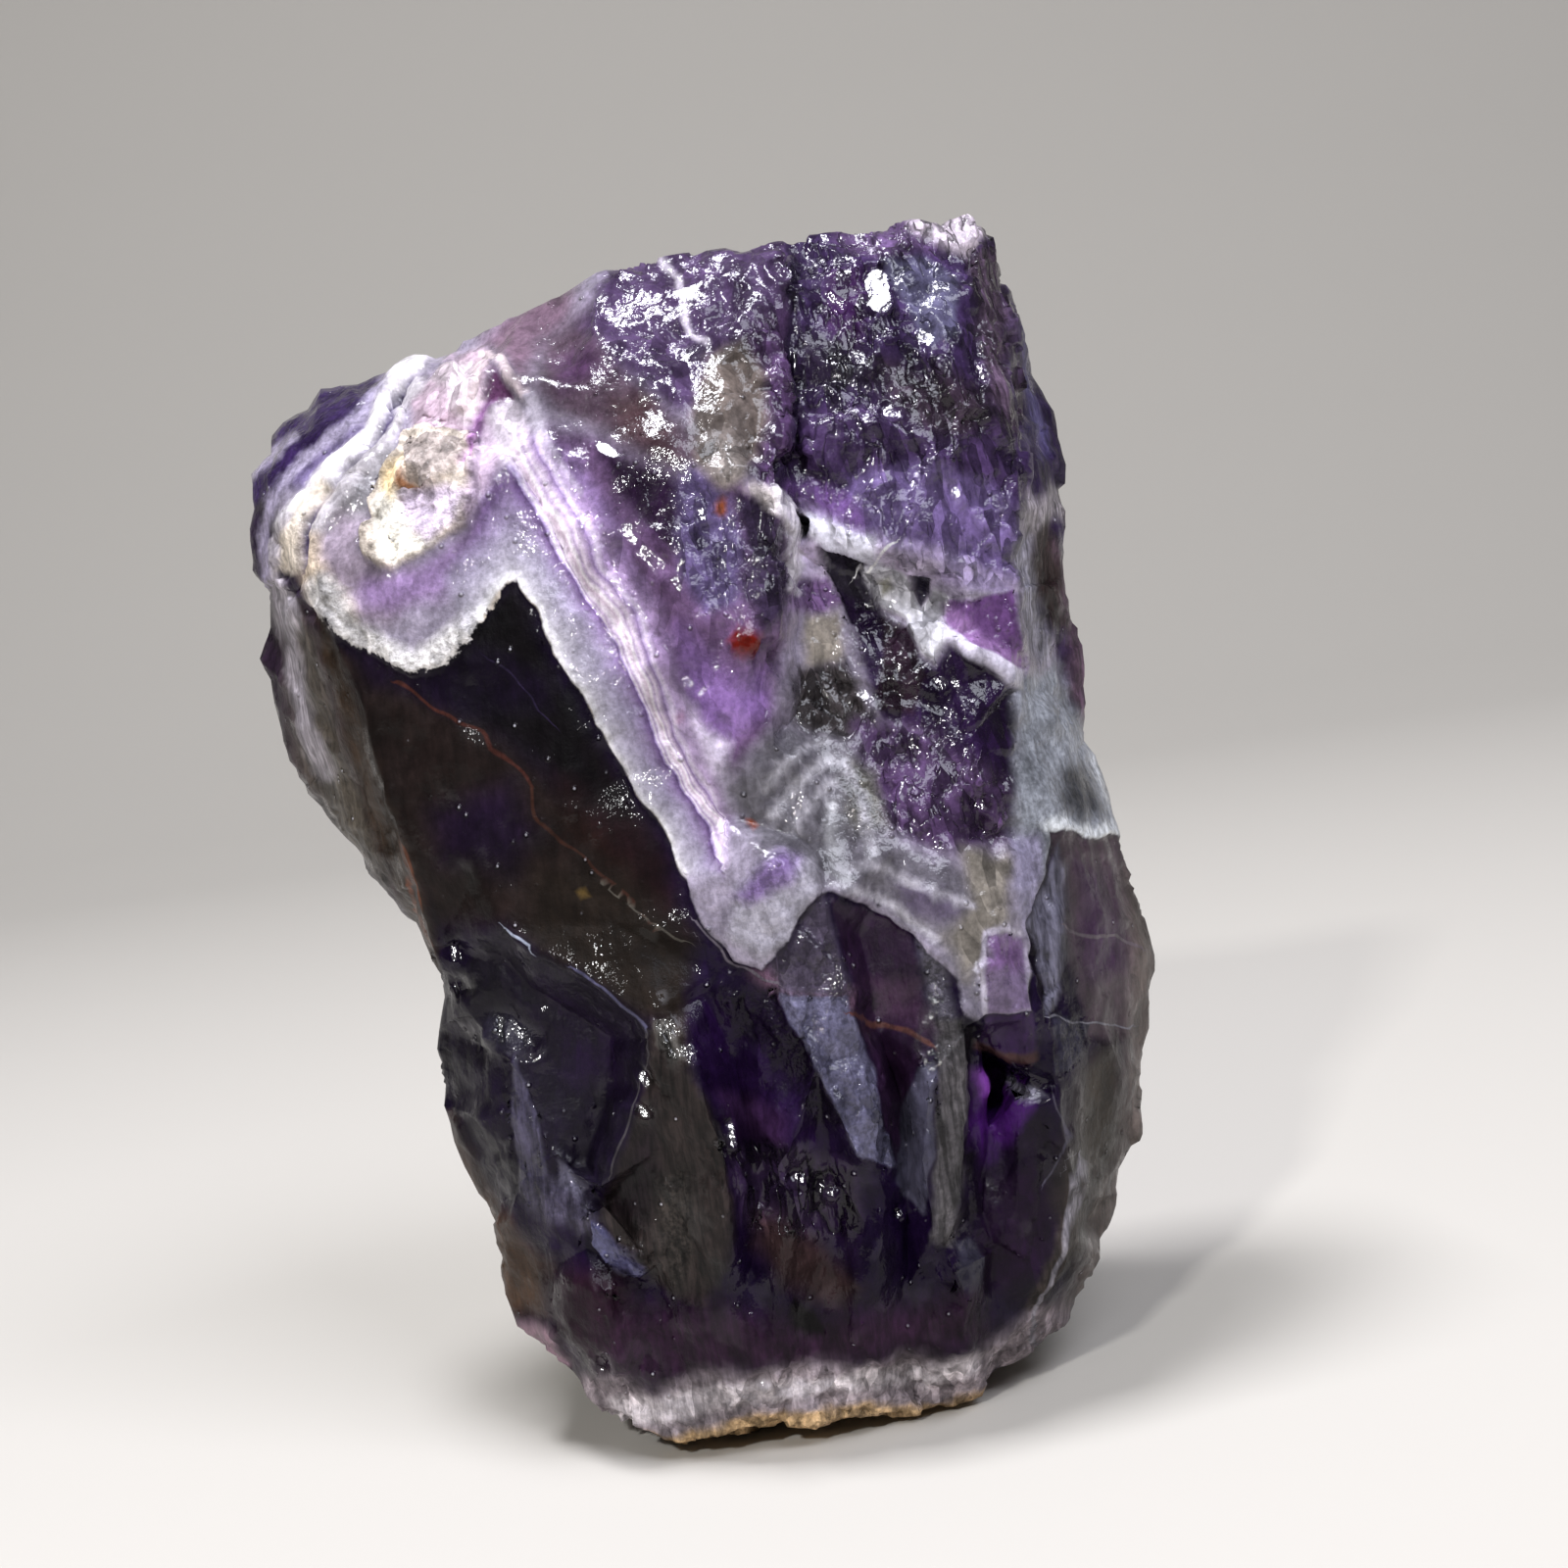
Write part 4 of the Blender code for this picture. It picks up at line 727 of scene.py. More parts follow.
# Where the layers between the lines are seen. Elsewhere the zones cover them
LAYERED = [
    [(455, 590), (480, 545), (492, 516), (507, 498), (519, 476), (530, 560), (527, 600), (500, 650),
     (478, 640)],
    [(519, 470), (530, 440), (552, 440), (585, 480), (625, 540), (668, 610), (704, 690), (730, 790),
     (745, 850), (735, 890), (690, 890), (640, 800), (590, 710), (527, 600), (519, 540)],
]
LAYER_EDGE = 1.2
# How far the last layer goes on past the third line, in mm
PAST_THIRD = 1.6
LAYER_COUNT = 3.0
# The milky layer's lower edge is crumbly as far to the right as this line
CRUMBLY_UP_TO = [(500, 300), (535, 1000)]
print("points of the growth lines:", [len(line) for line in (FIRST_LINE, SECOND_LINE, THIRD_LINE)])

# %% [markdown]
# ## A finer copy of the solid
#
# The solid's mesh is a few thousand loose triangles, a millimetre or three across. Its copy is merged into
# one closed skin, and edges that are too long are halved again and again: finest beside the growth lines,
# sharp-edged facets and small mirrors, coarser on smooth faces, and coarsest on the hidden back. That spends
# the triangles where they show and keeps the piece light.

# %% Distances in the picture
# Two distances closer than this count as equal, in picture points
EQUAL = 1e-6
# No marking reaches further than this past the box of its points, so places beyond it are left out of the
# sums and count as just this far away, in picture points
BOX_MARGIN = 45


def corner_places(piece):
    """The place of each corner of a mesh, in mm."""
    places = np.empty(len(piece.data.vertices) * 3)
    piece.data.vertices.foreach_get("co", places)
    return places.reshape(-1, 3) / MM


def distance_to_run(across, down, run, closed=False):
    """The distance to a run of picture points in mm: plus above it, walked to the right, and minus below."""
    points = np.array(run + run[:1] if closed else run, dtype=float)
    best = np.full(across.shape, np.inf)
    side = np.ones(across.shape)
    for (ax, ay), (bx, by) in zip(points[:-1], points[1:]):
        dx, dy = bx - ax, by - ay
        along = np.clip(((across - ax) * dx + (down - ay) * dy) / (dx * dx + dy * dy), 0, 1)
        gap = np.hypot(across - ax - along * dx, down - ay - along * dy)
        beside = (dy * (across - ax) - dx * (down - ay)) / math.hypot(dx, dy)
        # At a corner two pieces are equally near, and the one that the place faces more squarely decides
        squarer = (np.abs(gap - best) < EQUAL) & (np.abs(beside) > np.abs(side))
        closer = (gap < best - EQUAL) | squarer
        side = np.where(closer, beside, side)
        best = np.where(closer, gap, best)
    return best * np.sign(side) * MM_PER_PIXEL


def close_to(across, down, points):
    """Which places lie in the box around some picture points, or not far beside it."""
    left, top = np.min(points, axis=0) - BOX_MARGIN
    right, bottom = np.max(points, axis=0) + BOX_MARGIN
    return (across > left) & (across < right) & (down > top) & (down < bottom)


def gap_to_run(across, down, run):
    """The distance to a run of picture points in mm, whatever the side."""
    close = close_to(across, down, run)
    gap = np.full(across.shape, BOX_MARGIN * MM_PER_PIXEL)
    gap[close] = np.abs(distance_to_run(across[close], down[close], run))
    return gap


def depth_inside(across, down, outline):
    """How far inside a closed outline each place lies, in mm. It is negative outside."""
    close = close_to(across, down, outline)
    depth = np.full(across.shape, -BOX_MARGIN * MM_PER_PIXEL)
    x, y = across[close], down[close]
    gap = np.abs(distance_to_run(x, y, outline, closed=True))
    inside = np.zeros(x.shape, dtype=bool)
    for (ax, ay), (bx, by) in zip(outline, outline[1:] + outline[:1]):
        if ay != by:
            inside ^= ((ay > y) != (by > y)) & (x < ax + (y - ay) * (bx - ax) / (by - ay))
    depth[close] = np.where(inside, gap, -gap)
    return depth


def smooth(values, low, high):
    """0 up to the low end, 1 from the high end on, and an S-shaped climb between them."""
    share = np.clip((values - low) / (high - low), 0, 1)
    return share * share * (3 - 2 * share)


# %% Where the small mirrors lie
# How far a mirror fades out beside its run, in mm: one that keeps no relief, and what all the relief adds
MIRROR_FADE = 0.2
SWARM_FADE = 1.5


def in_mirror(across, down, mirror):
    """1 in a small face that mirrors a lamp, fading to 0 beside it."""
    run, radius, relief = mirror
    return 1 - smooth(gap_to_run(across, down, run), radius, radius + MIRROR_FADE + SWARM_FADE * relief ** 2)


# %% Copy, merge and refine
# The longest edge, in mm: at a crisp boundary, in fine detail, on a smooth face, and on the back
CRISPEST = 0.26
FINEST = 0.48
MIDDLING = 0.85
COARSEST = 1.5
# Depths behind the middle plane, in mm, between which the fine front gives way to the coarser back
FRONT_TO_BACK = (5.0, 14.0)
# Distances in mm over which fineness fades: from a growth line, over a zone's edge, and from a crisp edge
LINE_BAND = (0.5, 1.5)
ZONE_BAND = (-0.5, 0.5)
CRISP_BAND = (0.3, 0.6)
REFINE_ROUNDS = 8
MERGE = 0.0005
# Fine detail goes to zones more hackly than this, crisp boundaries to those with an edge under so many mm,
# and crisp mirrors are those that keep less than this share of the finest relief
HACKLY_FROM = 0.4
CRISP_UNDER = 0.32
SWARM_FROM = 0.75
ZONES = BELOW[1:] + ABOVE_LINE[1:]
DETAILED = [mark["outline"] for mark in ZONES if mark.get("hackly", 0) > HACKLY_FROM]
CRISP = [mark["outline"] for mark in ZONES if mark["edge"] < CRISP_UNDER]
CRISP_MIRRORS = [mirror for mirror in MIRRORS if mirror[2] < SWARM_FROM]


def only(piece):
    """Selects one piece alone and makes it active."""
    bpy.ops.object.select_all(action="DESELECT")
    piece.select_set(True)
    bpy.context.view_layer.objects.active = piece


def longest_allowed(middles):
    """The longest edge that the skin may have at each place, in mm."""
    across, down, near = seen_at(middles)
    detail = np.zeros(len(middles))
    for line in (FIRST_LINE, SECOND_LINE, THIRD_LINE):
        detail = np.maximum(detail, 1 - smooth(gap_to_run(across, down, line), *LINE_BAND))
    for outline in DETAILED:
        detail = np.maximum(detail, smooth(depth_inside(across, down, outline), *ZONE_BAND))
    front = MIDDLING + (FINEST - MIDDLING) * detail
    for outline in CRISP:
        crisp = 1 - smooth(np.abs(depth_inside(across, down, outline)), *CRISP_BAND)
        front = np.minimum(front, front + (CRISPEST - front) * crisp)
    for mirror in CRISP_MIRRORS:
        front += (CRISPEST - front) * in_mirror(across, down, mirror)
    return front + (COARSEST - front) * smooth(-near, *FRONT_TO_BACK)


def halve_long_edges(piece):
    """One round of refinement: halves each edge that is longer than its place allows."""
    ends = np.empty(len(piece.data.edges) * 2, dtype=int)
    piece.data.edges.foreach_get("vertices", ends)
    ends = corner_places(piece)[ends.reshape(-1, 2)]
    lengths = np.linalg.norm(ends[:, 0] - ends[:, 1], axis=1)
    too_long = lengths > longest_allowed(ends.mean(axis=1))
    only(piece)
    bpy.ops.object.mode_set(mode="EDIT")
    bpy.ops.mesh.select_mode(type="EDGE")
    bpy.ops.mesh.select_all(action="DESELECT")
    edited = bmesh.from_edit_mesh(piece.data)
    for edge, chosen in zip(edited.edges, too_long):
        if chosen:
            edge.select_set(True)
    bmesh.update_edit_mesh(piece.data)
    if too_long.any():
        bpy.ops.mesh.subdivide(number_cuts=1, smoothness=0)
        bpy.ops.mesh.select_all(action="SELECT")
        bpy.ops.mesh.quads_convert_to_tris(quad_method="SHORTEST_DIAGONAL", ngon_method="BEAUTY")
    bpy.ops.object.mode_set(mode="OBJECT")
    return too_long.any()


stone = bpy.data.objects.new("amethyst_skin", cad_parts[SOLID].data.copy())
bpy.context.scene.collection.objects.link(stone)
only(stone)
bpy.ops.object.mode_set(mode="EDIT")
bpy.ops.mesh.select_all(action="SELECT")
bpy.ops.mesh.remove_doubles(threshold=MERGE * MM)
bpy.ops.object.mode_set(mode="OBJECT")
for _ in range(REFINE_ROUNDS):
    if not halve_long_edges(stone):
        break
print("refined to", len(stone.data.polygons), "triangles")

# %% [markdown]
# ## Lay the markings on the skin
#
# For every corner of the skin the lesson works out where the eye sees it and how deep inside each outline
# that is. The places are first shaken with noise, because no boundary in a grown stone is a ruled line. On
# the hidden back they are shaken much more, so that it isn't the front in a mirror.

# %% Shake the places
WARPS = [{"size": 5.0, "depth": 0.55}, {"size": 1.5, "depth": 0.28}]
# Depths behind the middle plane, in mm, between which the markings of the front give way to those of the back
VISIBLE_TO_HIDDEN = (12.0, 22.0)
BACK_WARP = {"size": 14.0, "depth": 9.0}
BACK_DRIFT = Vector((-3.0, 0.0, 4.0))


def shaken(places, warp):
    """A smooth random shift for each place, with features of the warp's size, in mm."""
    return np.array([noise.noise_vector(Vector(p) / warp["size"])[:] for p in places]) * warp["depth"]


places = corner_places(stone)
seen_across, seen_down, near = seen_at(places)
behind = smooth(-near, *VISIBLE_TO_HIDDEN)
in_front = 1 - behind
shift = sum(shaken(places, warp) for warp in WARPS)
shift += behind[:, None] * (shaken(places, BACK_WARP) + np.array(BACK_DRIFT))
across, down, _ = seen_at(places + shift)
normals = np.empty(len(places) * 3)
stone.data.vertex_normals.foreach_get("vector", normals)
normals = normals.reshape(-1, 3)
facing_eye = normals @ np.array(TO_EYE)
print("corners:", len(places))

# %% Lay the two coats
CHANNELS = ("lift", "clear", "etched", "fibres", "hackly", "dull", "drained")
COATS = {"above": ABOVE_LINE, "below": BELOW}
# Over this many mm on either side of the first growth line one coat's surface gives way to the other's
COAT_BLEND = 0.2


def lay_coat(zones, coat_name):
    """The colour of each corner in one coat, and its lift and surface channels."""
    colours = np.tile(under_shine(zones[0]["colour"]), (len(across), 1))
    channels = {name: np.full(len(across), float(zones[0].get(name, 0))) for name in CHANNELS}

    def lay(mark, cover):
        colour_cover = (cover * mark.get("strength", 1.0))[:, None]
        colours[:] = colours * (1 - colour_cover) + under_shine(mark["colour"]) * colour_cover
        for name in CHANNELS:
            if name in mark:
                channels[name] = channels[name] * (1 - cover) + mark[name] * cover

    for mark in zones[1:]:
        inside = depth_inside(across, down, mark["outline"])
        lay(mark, smooth(inside, -mark["edge"] / 2, mark["edge"] / 2))
    for mark in STREAKS + SPOTS:
        if mark["coat"] == coat_name:
            if "run" in mark:
                gap = gap_to_run(across, down, mark["run"])
            else:
                gap = np.hypot(across - mark["at"][0], down - mark["at"][1]) * MM_PER_PIXEL
            lay(mark, in_front * (1 - smooth(gap, mark["radius"], mark["radius"] + mark["edge"])))
    return colours, channels


def store(name, values):
    """Keeps one number or one colour for each corner of the skin, for the shader to read."""
    one_number = values.ndim == 1
    layer = stone.data.attributes.new(name, "FLOAT" if one_number else "FLOAT_COLOR", "POINT")
    if one_number:
        layer.data.foreach_set("value", values)
    else:
        layer.data.foreach_set("color", np.hstack([values, np.ones((len(values), 1))]).ravel())


first = distance_to_run(across, down, FIRST_LINE)
over_first = smooth(first, -COAT_BLEND, COAT_BLEND)
share_of = {"above": over_first, "below": 1 - over_first}
surface = dict.fromkeys(CHANNELS, 0.0)
for coat_name, zones in COATS.items():
    colours, channels = lay_coat(zones, coat_name)
    store(coat_name, colours)
    for name in CHANNELS:
        surface[name] = surface[name] + channels[name] * share_of[coat_name]
relief_kept = np.ones(len(places))
for mirror in MIRRORS:
    cover = in_mirror(seen_across, seen_down, mirror) * in_front
    surface["drained"] *= 1 - cover
    surface["dull"] *= 1 - cover
    relief_kept = np.minimum(relief_kept, 1 - (1 - mirror[2]) * cover)
for name in CHANNELS[1:]:
    store(name, surface[name])
store("relief_kept", relief_kept)
store("first_line", first)
print("mean of each channel:", {name: round(float(surface[name].mean()), 2) for name in CHANNELS})

# %% Growth layers
# The least distance between two lines that the layers are spread over, in mm
LEAST_GAP = 0.01
CRUMBLY_BLEND = 0.5

second = distance_to_run(across, down, SECOND_LINE)
third = distance_to_run(across, down, THIRD_LINE)
between_first = first / np.maximum(first - second, LEAST_GAP)
between_second = 1 + second / np.maximum(second - third, LEAST_GAP)
layer = np.where(second < 0, np.clip(between_first, 0, 1), np.clip(between_second, 1, 2))
layer = np.where((third > 0) & (second > 0), 2 + np.clip(third / PAST_THIRD, 0, 1), layer)
layered = np.max([smooth(depth_inside(across, down, outline), -LAYER_EDGE / 2, LAYER_EDGE / 2)
                  for outline in LAYERED], axis=0)
store("layer", layer / LAYER_COUNT)
store("layered", layered * in_front)
store("crumbly", smooth(-distance_to_run(across, down, CRUMBLY_UP_TO), -CRUMBLY_BLEND, CRUMBLY_BLEND))

# %% Fine lines
LINE_REACH = 0.7
FAR = 9.0
# How squarely a place must face the eye for a line to start to show there, and to show in full
FACING = (0.1, 0.4)

line_side = np.full(len(across), FAR)
line_gap = np.full(len(across), FAR)
line_tint = np.zeros((len(across), 3))
line_cover = np.zeros(len(across))
for mark in FINE_LINES:
    signed = distance_to_run(across, down, mark["run"])
    shown = share_of[mark["coat"]] * smooth(facing_eye, *FACING)
    nearer = np.abs(signed) < line_gap
    line_gap = np.where(nearer, np.abs(signed), line_gap)
    line_side = np.where(nearer, signed / mark["radius"], line_side)
    line_tint = np.where(nearer[:, None], under_shine(mark["colour"]), line_tint)
    line_cover = np.where(nearer, shown * (1 - smooth(line_gap, LINE_REACH / 2, LINE_REACH)), line_cover)
store("line_side", np.clip(line_side, -FAR, FAR))
store("line_tint", line_tint)
store("line_cover", line_cover)

# %% [markdown]
# ## Small breaks
#
# Quartz has no cleavage. It breaks in shells and splinters, so the block at the upper right and the hollows
# below it are covered with small tilted scars, while the face with the zig-zags is almost smooth and only
# gently rippled. Each scar is a cell that is flat but tilted, and set a little higher or lower than the
# next, which gives the sharp steps that glitter. Cells are drawn out along the growth of the crystals. The
# milky layer also stands a little proud of the black crystals below it.

# %% Push the relief in
SCARS = [
    {"size": 4.4, "depth": 0.70, "stretch": 1.8, "seed": 1.7},
    {"size": 2.1, "depth": 0.36, "stretch": 1.5, "seed": 5.2},
]
SCAR_TILT = 2.4
SCAR_LIFT = 0.55
TILT_PICK = 71.3
LIFT_PICK = 43.9
RIPPLE = {"size": 4.0, "depth": 0.20}
GRAIN = {"size": 0.9, "depth": 0.07}
LEAST_GRAIN = 0.3
MILKY_STEP = 0.28
BACK_HACKLY = 0.55
FOOT_KEPT = 0.3


def scar_depth(place, scar):
    """The height of the flat, tilted cell that a place lies in."""
    drawn = Vector((place[0], place[1], place[2] / scar["stretch"])) / scar["size"]
    drawn += Vector((scar["seed"], 0.3, -scar["seed"]))
    seed = noise.voronoi(drawn)[1][0]
    tilt = noise.cell_vector(seed * TILT_PICK) - Vector((0.5, 0.5, 0.5))
    lift = noise.cell(seed * LIFT_PICK) - 0.5
    return scar["depth"] * ((drawn - seed).dot(tilt) * SCAR_TILT + SCAR_LIFT * lift)


def swell(places, kind):
    """A smooth random height for each place, in mm."""
    return np.array([noise.noise(Vector(p) / kind["size"]) for p in places]) * kind["depth"]


hackly = surface["hackly"] * in_front + BACK_HACKLY * behind
scars = np.array([sum(scar_depth(p, scar) for scar in SCARS) for p in places])
push = scars * hackly + swell(places, RIPPLE)
push += swell(places, GRAIN) * (LEAST_GRAIN + hackly + surface["dull"])
push += (surface["lift"] + MILKY_STEP * over_first) * in_front
push *= smooth(places[:, 2], 0.0, FOOT_KEPT)
pushed = places + normals * push[:, None]
print("pushed by", round(float(push.min()), 2), "to", round(float(push.max()), 2), "mm")

# %% [markdown]
# A few dozen of the smallest faces mirror a lamp to the eye, as some faces of any broken crystal do. Such a
# face looks along the middle between the way to the eye and the way to the lamp. Its corners are moved
# towards the eye or away from it, so that they come to lie in that plane while the eye sees them where they
# were. The lamp is the one that takes the least turning.

# %% Turn the small mirrors
MIRROR_SHIFT = 1.0
MIRROR_FACING = 0.2

lamps = [Vector(light["place"]) / MM for light in LIGHTS if "lamp" in light["name"]]
to_eye = np.array(TO_EYE)


def mirror_direction(centre, normal):
    """The direction nearest to the normal in which a face at that place mirrors a lamp to the eye."""
    eye_way = (MIDDLE + TO_EYE * EYE_DISTANCE - centre).normalized()
    return max(((eye_way + (lamp - centre).normalized()).normalized() for lamp in lamps), key=normal.dot)


seen_across, seen_down, _ = seen_at(pushed)
for mirror in MIRRORS:
    cover = in_mirror(seen_across, seen_down, mirror)
    chosen = (cover > 0) & (behind < 0.5) & (facing_eye > MIRROR_FACING)
    if chosen.any():
        centre = pushed[chosen].mean(axis=0)
        facing = np.array(mirror_direction(Vector(centre), Vector(normals[chosen].mean(axis=0))))
        to_plane = (centre - pushed[chosen]) @ facing / (to_eye @ facing)
        to_plane = np.clip(to_plane, -MIRROR_SHIFT, MIRROR_SHIFT)
        pushed[chosen] += (to_plane * cover[chosen])[:, None] * to_eye
low, high = (np.array(corner) / MM for corner in cad_box)
pushed = np.clip(pushed, low, high)
stone.data.vertices.foreach_set("co", (pushed * MM).ravel())
stone.data.update()
print("small mirrors:", len(MIRRORS))

# %% [markdown]
# ## The stone's finish
#
# Quartz is silicon dioxide with an index of refraction of 1.54. This piece is freshly broken and wet: a thin
# film of water lies over it like a clear coat and gives the small sharp glints, while the stone under it is
# a little rougher. The dark crystals let some light in, and what enters is soaked up within a few
# millimetres, red and green more than violet. The shader cuts the two painted coats along the first growth
# line, lays the layers and the fine lines over them, clouds and pits the result, and adds the finest relief
# as a bump.

# %% Patterns and painted values
EVEN = (1 / MM, 1 / MM, 1 / MM)
DRAWN = (1 / MM, 1 / MM, 0.36 / MM)
FIBROUS = (1 / MM, 1 / MM, 0.14 / MM)
# Name, pattern of the vector, size of a feature in mm, detail and roughness of the noise
CLOUDS = [
    ("mottle", EVEN, 1.5, 4.0, 0.62), ("veil", EVEN, 5.0, 2.0, 0.5), ("frill", EVEN, 0.9, 3.0, 0.6),
    ("speck", EVEN, 0.42, 2.0, 0.6), ("crack", DRAWN, 1.7, 2.0, 0.55), ("gap", EVEN, 3.0, 2.0, 0.5),
    ("fibre", FIBROUS, 0.45, 2.0, 0.6),
]
PIT_SPACING = 1.6
CHIP_SIZE = 1.0

amethyst, tree = new_material("banded_amethyst_broken_wet")
where = add_node(tree, "ShaderNodeTexCoord", {}).outputs["Object"]
grids = {}
for scale in (EVEN, DRAWN, FIBROUS):
    grids[scale] = add_node(tree, "ShaderNodeMapping", {"Vector": where, "Scale": scale}).outputs["Vector"]
cloud = {}
for name, scale, size, detail, roughness in CLOUDS:
    inputs = {"Vector": grids[scale], "Scale": 1 / size, "Detail": detail, "Roughness": roughness}
    cloud[name] = add_node(tree, "ShaderNodeTexNoise", inputs).outputs["Fac"]
field = {}
for name in (*CHANNELS[1:], "first_line", "layer", "layered", "crumbly", "line_side", "line_cover",
             "relief_kept"):
    field[name] = add_node(tree, "ShaderNodeAttribute", {}, attribute_name=name).outputs["Fac"]
paint = {}
for name in ("above", "below", "line_tint"):
    paint[name] = add_node(tree, "ShaderNodeAttribute", {}, attribute_name=name).outputs["Color"]

# Tiny beads and pits, a millimetre or two apart: each pit catches a point of light, and each bead is a pale
# speck whose colour is partly a painted glint
pits = add_node(tree, "ShaderNodeTexVoronoi", {
    "Vector": grids[EVEN], "Scale": 1 / PIT_SPACING}).outputs["Distance"]
# Chips: small flat cells, each tilted its own way and each over a darker or a lighter depth
chip_grid = add_node(tree, "ShaderNodeVectorMath", {
    0: grids[DRAWN], "Scale": 1 / CHIP_SIZE}, operation="SCALE").outputs[0]
chips = add_node(tree, "ShaderNodeTexVoronoi", {"Vector": chip_grid, "Scale": 1.0})

# Each range: what it reads, between which two values, what it gives at either end, and how it climbs
RANGES = {
    "frill_depth": (field["crumbly"], (0.0, 1.0), (0.25, 1.5), "LINEAR"),
    "crack_width": (cloud["gap"], (0.40, 0.58), (0.001, 0.10), "LINEAR"),
    "cracked": (field["hackly"], (0.6, 1.0), (0.0, 1.0), "LINEAR"),
    "patchy": (cloud["gap"], (0.40, 0.60), (0.0, 1.0), "LINEAR"),
    "pit": (pits, (0.03, 0.17), (1.0, 0.0), "SMOOTHSTEP"),
    "bead": (pits, (0.03, 0.08), (0.75, 0.0), "LINEAR"),
    "rough": (cloud["mottle"], (0.3, 0.7), (0.16, 0.34), "LINEAR"),
    "still_wet": (cloud["gap"], (0.56, 0.66), (0.05, 0.65), "LINEAR"),
}
ranged = {}
for name, (pattern, span, ends, climb) in RANGES.items():
    ranged[name] = add_node(tree, "ShaderNodeMapRange", {
        "Value": pattern, "From Min": span[0], "From Max": span[1], "To Min": ends[0], "To Max": ends[1]},
        interpolation_type=climb).outputs[0]
print("clouds:", len(cloud), "painted values:", len(field) + len(paint), "ranges:", len(ranged))

# %% Growth layers over the two coats
# How far along the way from one growth line to the next, and the colour there
LAYER_STOPS = [
    (0.00, "#d6cabb"), (0.03, "#e0dddd"), (0.10, "#c9c6ca"), (0.18, "#a4a0a8"), (0.35, "#938e9b"),
    (0.60, "#8a8297"), (0.80, "#837494"), (0.93, "#644d78"), (1.00, "#48305f"), (1.04, "#8f7aa8"),
    (1.12, "#cfc4d0"), (1.20, "#a893b2"), (1.30, "#ddd2dc"), (1.44, "#c9b4c4"), (1.54, "#e3dade"),
    (1.66, "#ad98b6"), (1.76, "#cfc0cf"), (1.90, "#a590ae"), (2.00, "#7d6690"), (2.06, "#a893b8"),
    (2.20, "#c4b6ca"), (2.45, "#9882a5"), (3.00, "#6c5878"),
]
LAYER_WAVER = 0.035
LAYER_STRENGTH = 0.85
# The milky layer starts between these distances from the first line, in mm
MILKY_FROM = (-0.08, 0.14)

frill = add_node(tree, "ShaderNodeMath", {0: cloud["frill"], 1: 0.5}, operation="SUBTRACT").outputs[0]
frill = add_node(tree, "ShaderNodeMath", {0: frill, 1: ranged["frill_depth"], 2: field["first_line"]},
                 operation="MULTIPLY_ADD").outputs[0]
over = add_node(tree, "ShaderNodeMapRange", {
    "Value": frill, "From Min": MILKY_FROM[0], "From Max": MILKY_FROM[1]},
    interpolation_type="SMOOTHSTEP").outputs[0]
waver = add_node(tree, "ShaderNodeMath", {0: cloud["mottle"], 1: 0.5}, operation="SUBTRACT").outputs[0]
layer_at = add_node(tree, "ShaderNodeMath", {0: waver, 1: LAYER_WAVER, 2: field["layer"]},
                    operation="MULTIPLY_ADD").outputs[0]
ramp = add_node(tree, "ShaderNodeValToRGB", {"Fac": layer_at})
stops = ramp.color_ramp.elements
stops.remove(stops[1])
for index, (at, colour) in enumerate(LAYER_STOPS):
    stop = stops[0] if index == 0 else stops.new(at / LAYER_COUNT)
    stop.position = at / LAYER_COUNT
    stop.color = linear(colour)
layer_cover = add_node(tree, "ShaderNodeMath", {0: field["layered"], 1: LAYER_STRENGTH},
                       operation="MULTIPLY").outputs[0]
milky = add_node(tree, "ShaderNodeMix", {0: layer_cover, 6: paint["above"], 7: ramp.outputs["Color"]},
                 data_type="RGBA").outputs[2]
colour = add_node(tree, "ShaderNodeMix", {0: over, 6: paint["below"], 7: milky}, data_type="RGBA").outputs[2]
print("layer colours:", len(stops))

# %% Fine lines, cracks and beads
LINE_FADE = (0.6, 1.6)
# Colour of the beads: dust and droplets on the faces, whose pale colour is partly a painted glint
BEAD_AND_GLINT = "#b9b7c0"

side = add_node(tree, "ShaderNodeMath", {0: field["line_side"]}, operation="ABSOLUTE").outputs[0]
line = add_node(tree, "ShaderNodeMapRange", {
    "Value": side, "From Min": LINE_FADE[0], "From Max": LINE_FADE[1],
    "To Min": 1.0, "To Max": 0.0}).outputs[0]
line = add_node(tree, "ShaderNodeMath", {0: line, 1: field["line_cover"]}, operation="MULTIPLY").outputs[0]
# Beads: pale specks, partly dust and droplets and partly painted glints
bead = add_node(tree, "ShaderNodeMath", {0: ranged["bead"], 1: ranged["patchy"]},
                operation="MULTIPLY").outputs[0]
crack = add_node(tree, "ShaderNodeMath", {0: cloud["crack"], 1: 0.5}, operation="SUBTRACT").outputs[0]
crack = add_node(tree, "ShaderNodeMath", {0: crack}, operation="ABSOLUTE").outputs[0]
crack = add_node(tree, "ShaderNodeMath", {0: crack, 1: ranged["crack_width"]}, operation="DIVIDE",
                 use_clamp=True).outputs[0]

for cover, tint in ((line, paint["line_tint"]), (bead, linear(BEAD_AND_GLINT))):
    colour = add_node(tree, "ShaderNodeMix", {0: cover, 6: colour, 7: tint}, data_type="RGBA").outputs[2]
print("nodes so far:", len(tree.nodes))

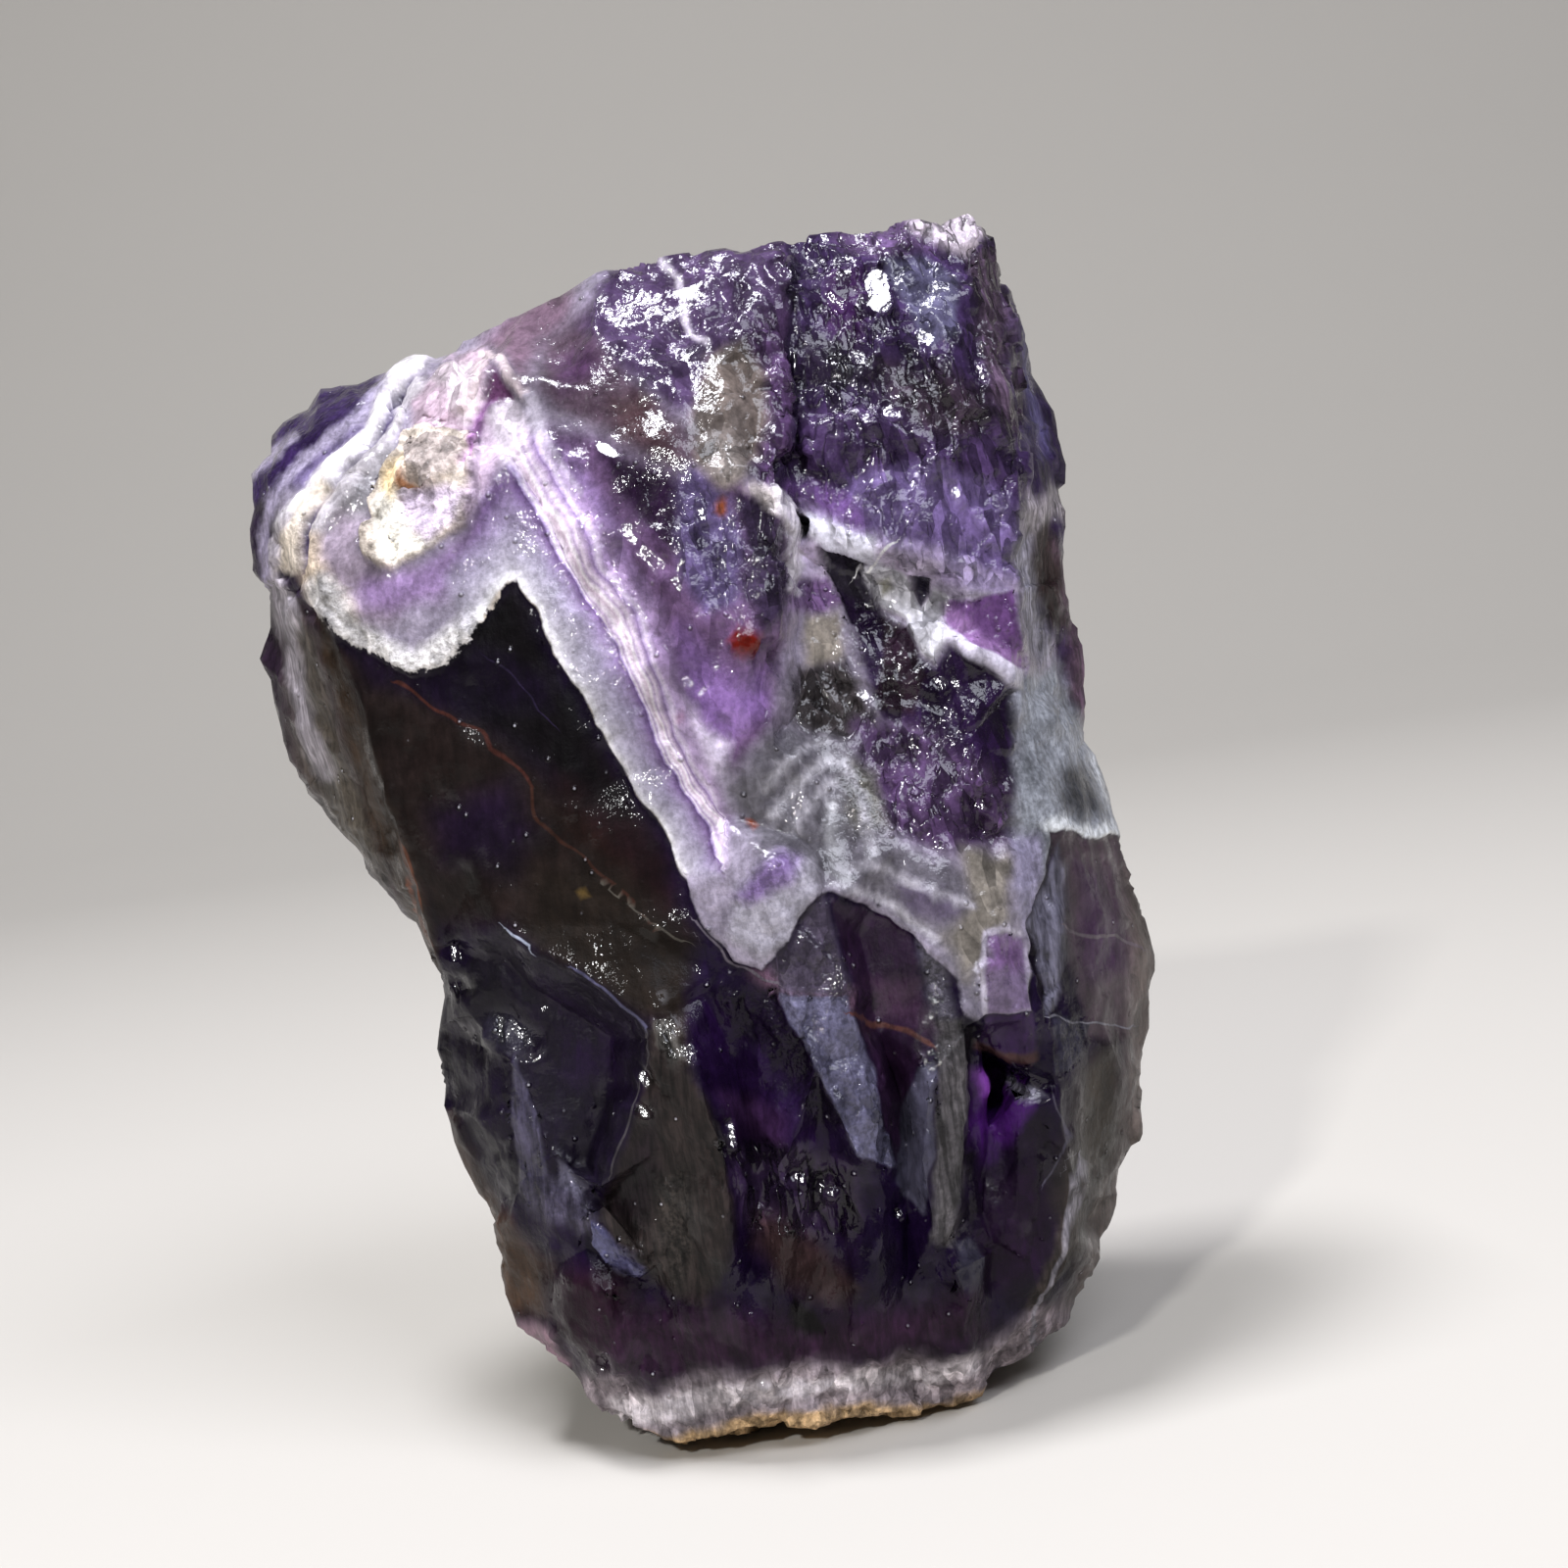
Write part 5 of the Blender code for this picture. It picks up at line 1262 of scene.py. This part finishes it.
# %% Shade the colour
# Each shade: its strength, the pattern, and what the pattern's low and high ends multiply the colour by
SHADES = [
    (1.0, cloud["mottle"], (0.32, 0.68), (0.66, 1.32)),
    (1.0, cloud["veil"], (0.35, 0.65), (0.74, 1.26)),
    (field["hackly"], chips.outputs["Color"], (0.2, 0.8), (0.45, 1.55)),
    (ranged["cracked"], crack, (0.0, 1.0), (0.18, 1.0)),
    (field["etched"], cloud["speck"], (0.40, 0.58), (0.42, 1.18)),
    (field["dull"], cloud["frill"], (0.38, 0.62), (0.55, 1.30)),
    (field["fibres"], cloud["fibre"], (0.36, 0.64), (0.45, 1.60)),
]
for strength, pattern, span, factors in SHADES:
    shade = add_node(tree, "ShaderNodeMapRange", {
        "Value": pattern, "From Min": span[0], "From Max": span[1],
        "To Min": factors[0], "To Max": factors[1]}).outputs[0]
    colour = add_node(tree, "ShaderNodeMix", {0: strength, 6: colour, 7: shade}, data_type="RGBA",
                      blend_type="MULTIPLY").outputs[2]
print("shades:", len(SHADES))

# %% Finest relief
chip_from = add_node(tree, "ShaderNodeVectorMath", {0: chip_grid, 1: chips.outputs["Position"]},
                     operation="SUBTRACT").outputs[0]
chip_tilt = add_node(tree, "ShaderNodeVectorMath", {0: chips.outputs["Color"], 1: (0.5, 0.5, 0.5)},
                     operation="SUBTRACT").outputs[0]
chip = add_node(tree, "ShaderNodeVectorMath", {0: chip_from, 1: chip_tilt},
                operation="DOT_PRODUCT").outputs["Value"]

# Each relief: how much of it there is, the pattern, and its height in mm
RELIEFS = [
    (1.0, cloud["frill"], 0.10),
    (ranged["patchy"], ranged["pit"], 0.22),
    (field["hackly"], chip, 0.45),
    (ranged["cracked"], crack, 0.10),
    (field["etched"], cloud["speck"], 0.12),
    (field["fibres"], cloud["fibre"], 0.12),
    (field["dull"], cloud["speck"], 0.20),
]
height = 0.0
for strength, pattern, depth in RELIEFS:
    part = add_node(tree, "ShaderNodeMath", {0: pattern, 1: strength}, operation="MULTIPLY").outputs[0]
    height = add_node(tree, "ShaderNodeMath", {0: part, 1: depth, 2: height},
                      operation="MULTIPLY_ADD").outputs[0]
bump = add_node(tree, "ShaderNodeBump", {
    "Height": height, "Distance": MM, "Strength": field["relief_kept"]}).outputs["Normal"]
print("reliefs:", len(RELIEFS))

# %% Put the shader together
QUARTZ_IOR = 1.544
WATER_IOR = 1.33
WET_ROUGHNESS = 0.03
# What a wholly dry place adds to the roughness
DRY_ROUGHNESS = 0.35
# Quartz under a film of water mirrors far less than dry quartz, whose level is 0.5
UNDER_WATER = 0.06
ABSORPTION_PER_METRE = 380.0
ABSORPTION_TINT = "#8f5fc8"
CLEAREST = 0.75
SMOOTH_UP_TO_DEG = 30

dry = add_node(tree, "ShaderNodeMath", {0: field["dull"], 1: field["drained"]}, operation="ADD").outputs[0]
rough = add_node(tree, "ShaderNodeMath", {0: dry, 1: DRY_ROUGHNESS, 2: ranged["rough"]},
                 operation="MULTIPLY_ADD").outputs[0]
wet = add_node(tree, "ShaderNodeMapRange", {
    "Value": dry, "To Min": 1.0, "To Max": ranged["still_wet"]}).outputs[0]
clear = add_node(tree, "ShaderNodeMath", {0: field["clear"], 1: CLEAREST}, operation="MULTIPLY").outputs[0]
shader = add_node(tree, "ShaderNodeBsdfPrincipled", {
    "Base Color": colour, "Roughness": rough, "IOR": QUARTZ_IOR, "Specular IOR Level": UNDER_WATER,
    "Normal": bump, "Transmission Weight": clear, "Coat Weight": wet, "Coat Roughness": WET_ROUGHNESS,
    "Coat IOR": WATER_IOR, "Coat Normal": bump})
depths = add_node(tree, "ShaderNodeVolumeAbsorption", {
    "Color": linear(ABSORPTION_TINT), "Density": ABSORPTION_PER_METRE})
add_node(tree, "ShaderNodeOutputMaterial", {
    "Surface": shader.outputs["BSDF"], "Volume": depths.outputs["Volume"]})

stone.data.materials.clear()
stone.data.materials.append(amethyst)
only(stone)
bpy.ops.object.shade_smooth_by_angle(angle=math.radians(SMOOTH_UP_TO_DEG))
print("material has", len(tree.nodes), "nodes")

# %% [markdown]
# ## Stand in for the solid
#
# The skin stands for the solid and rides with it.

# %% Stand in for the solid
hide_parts(SOLID)
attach(stone, "root")
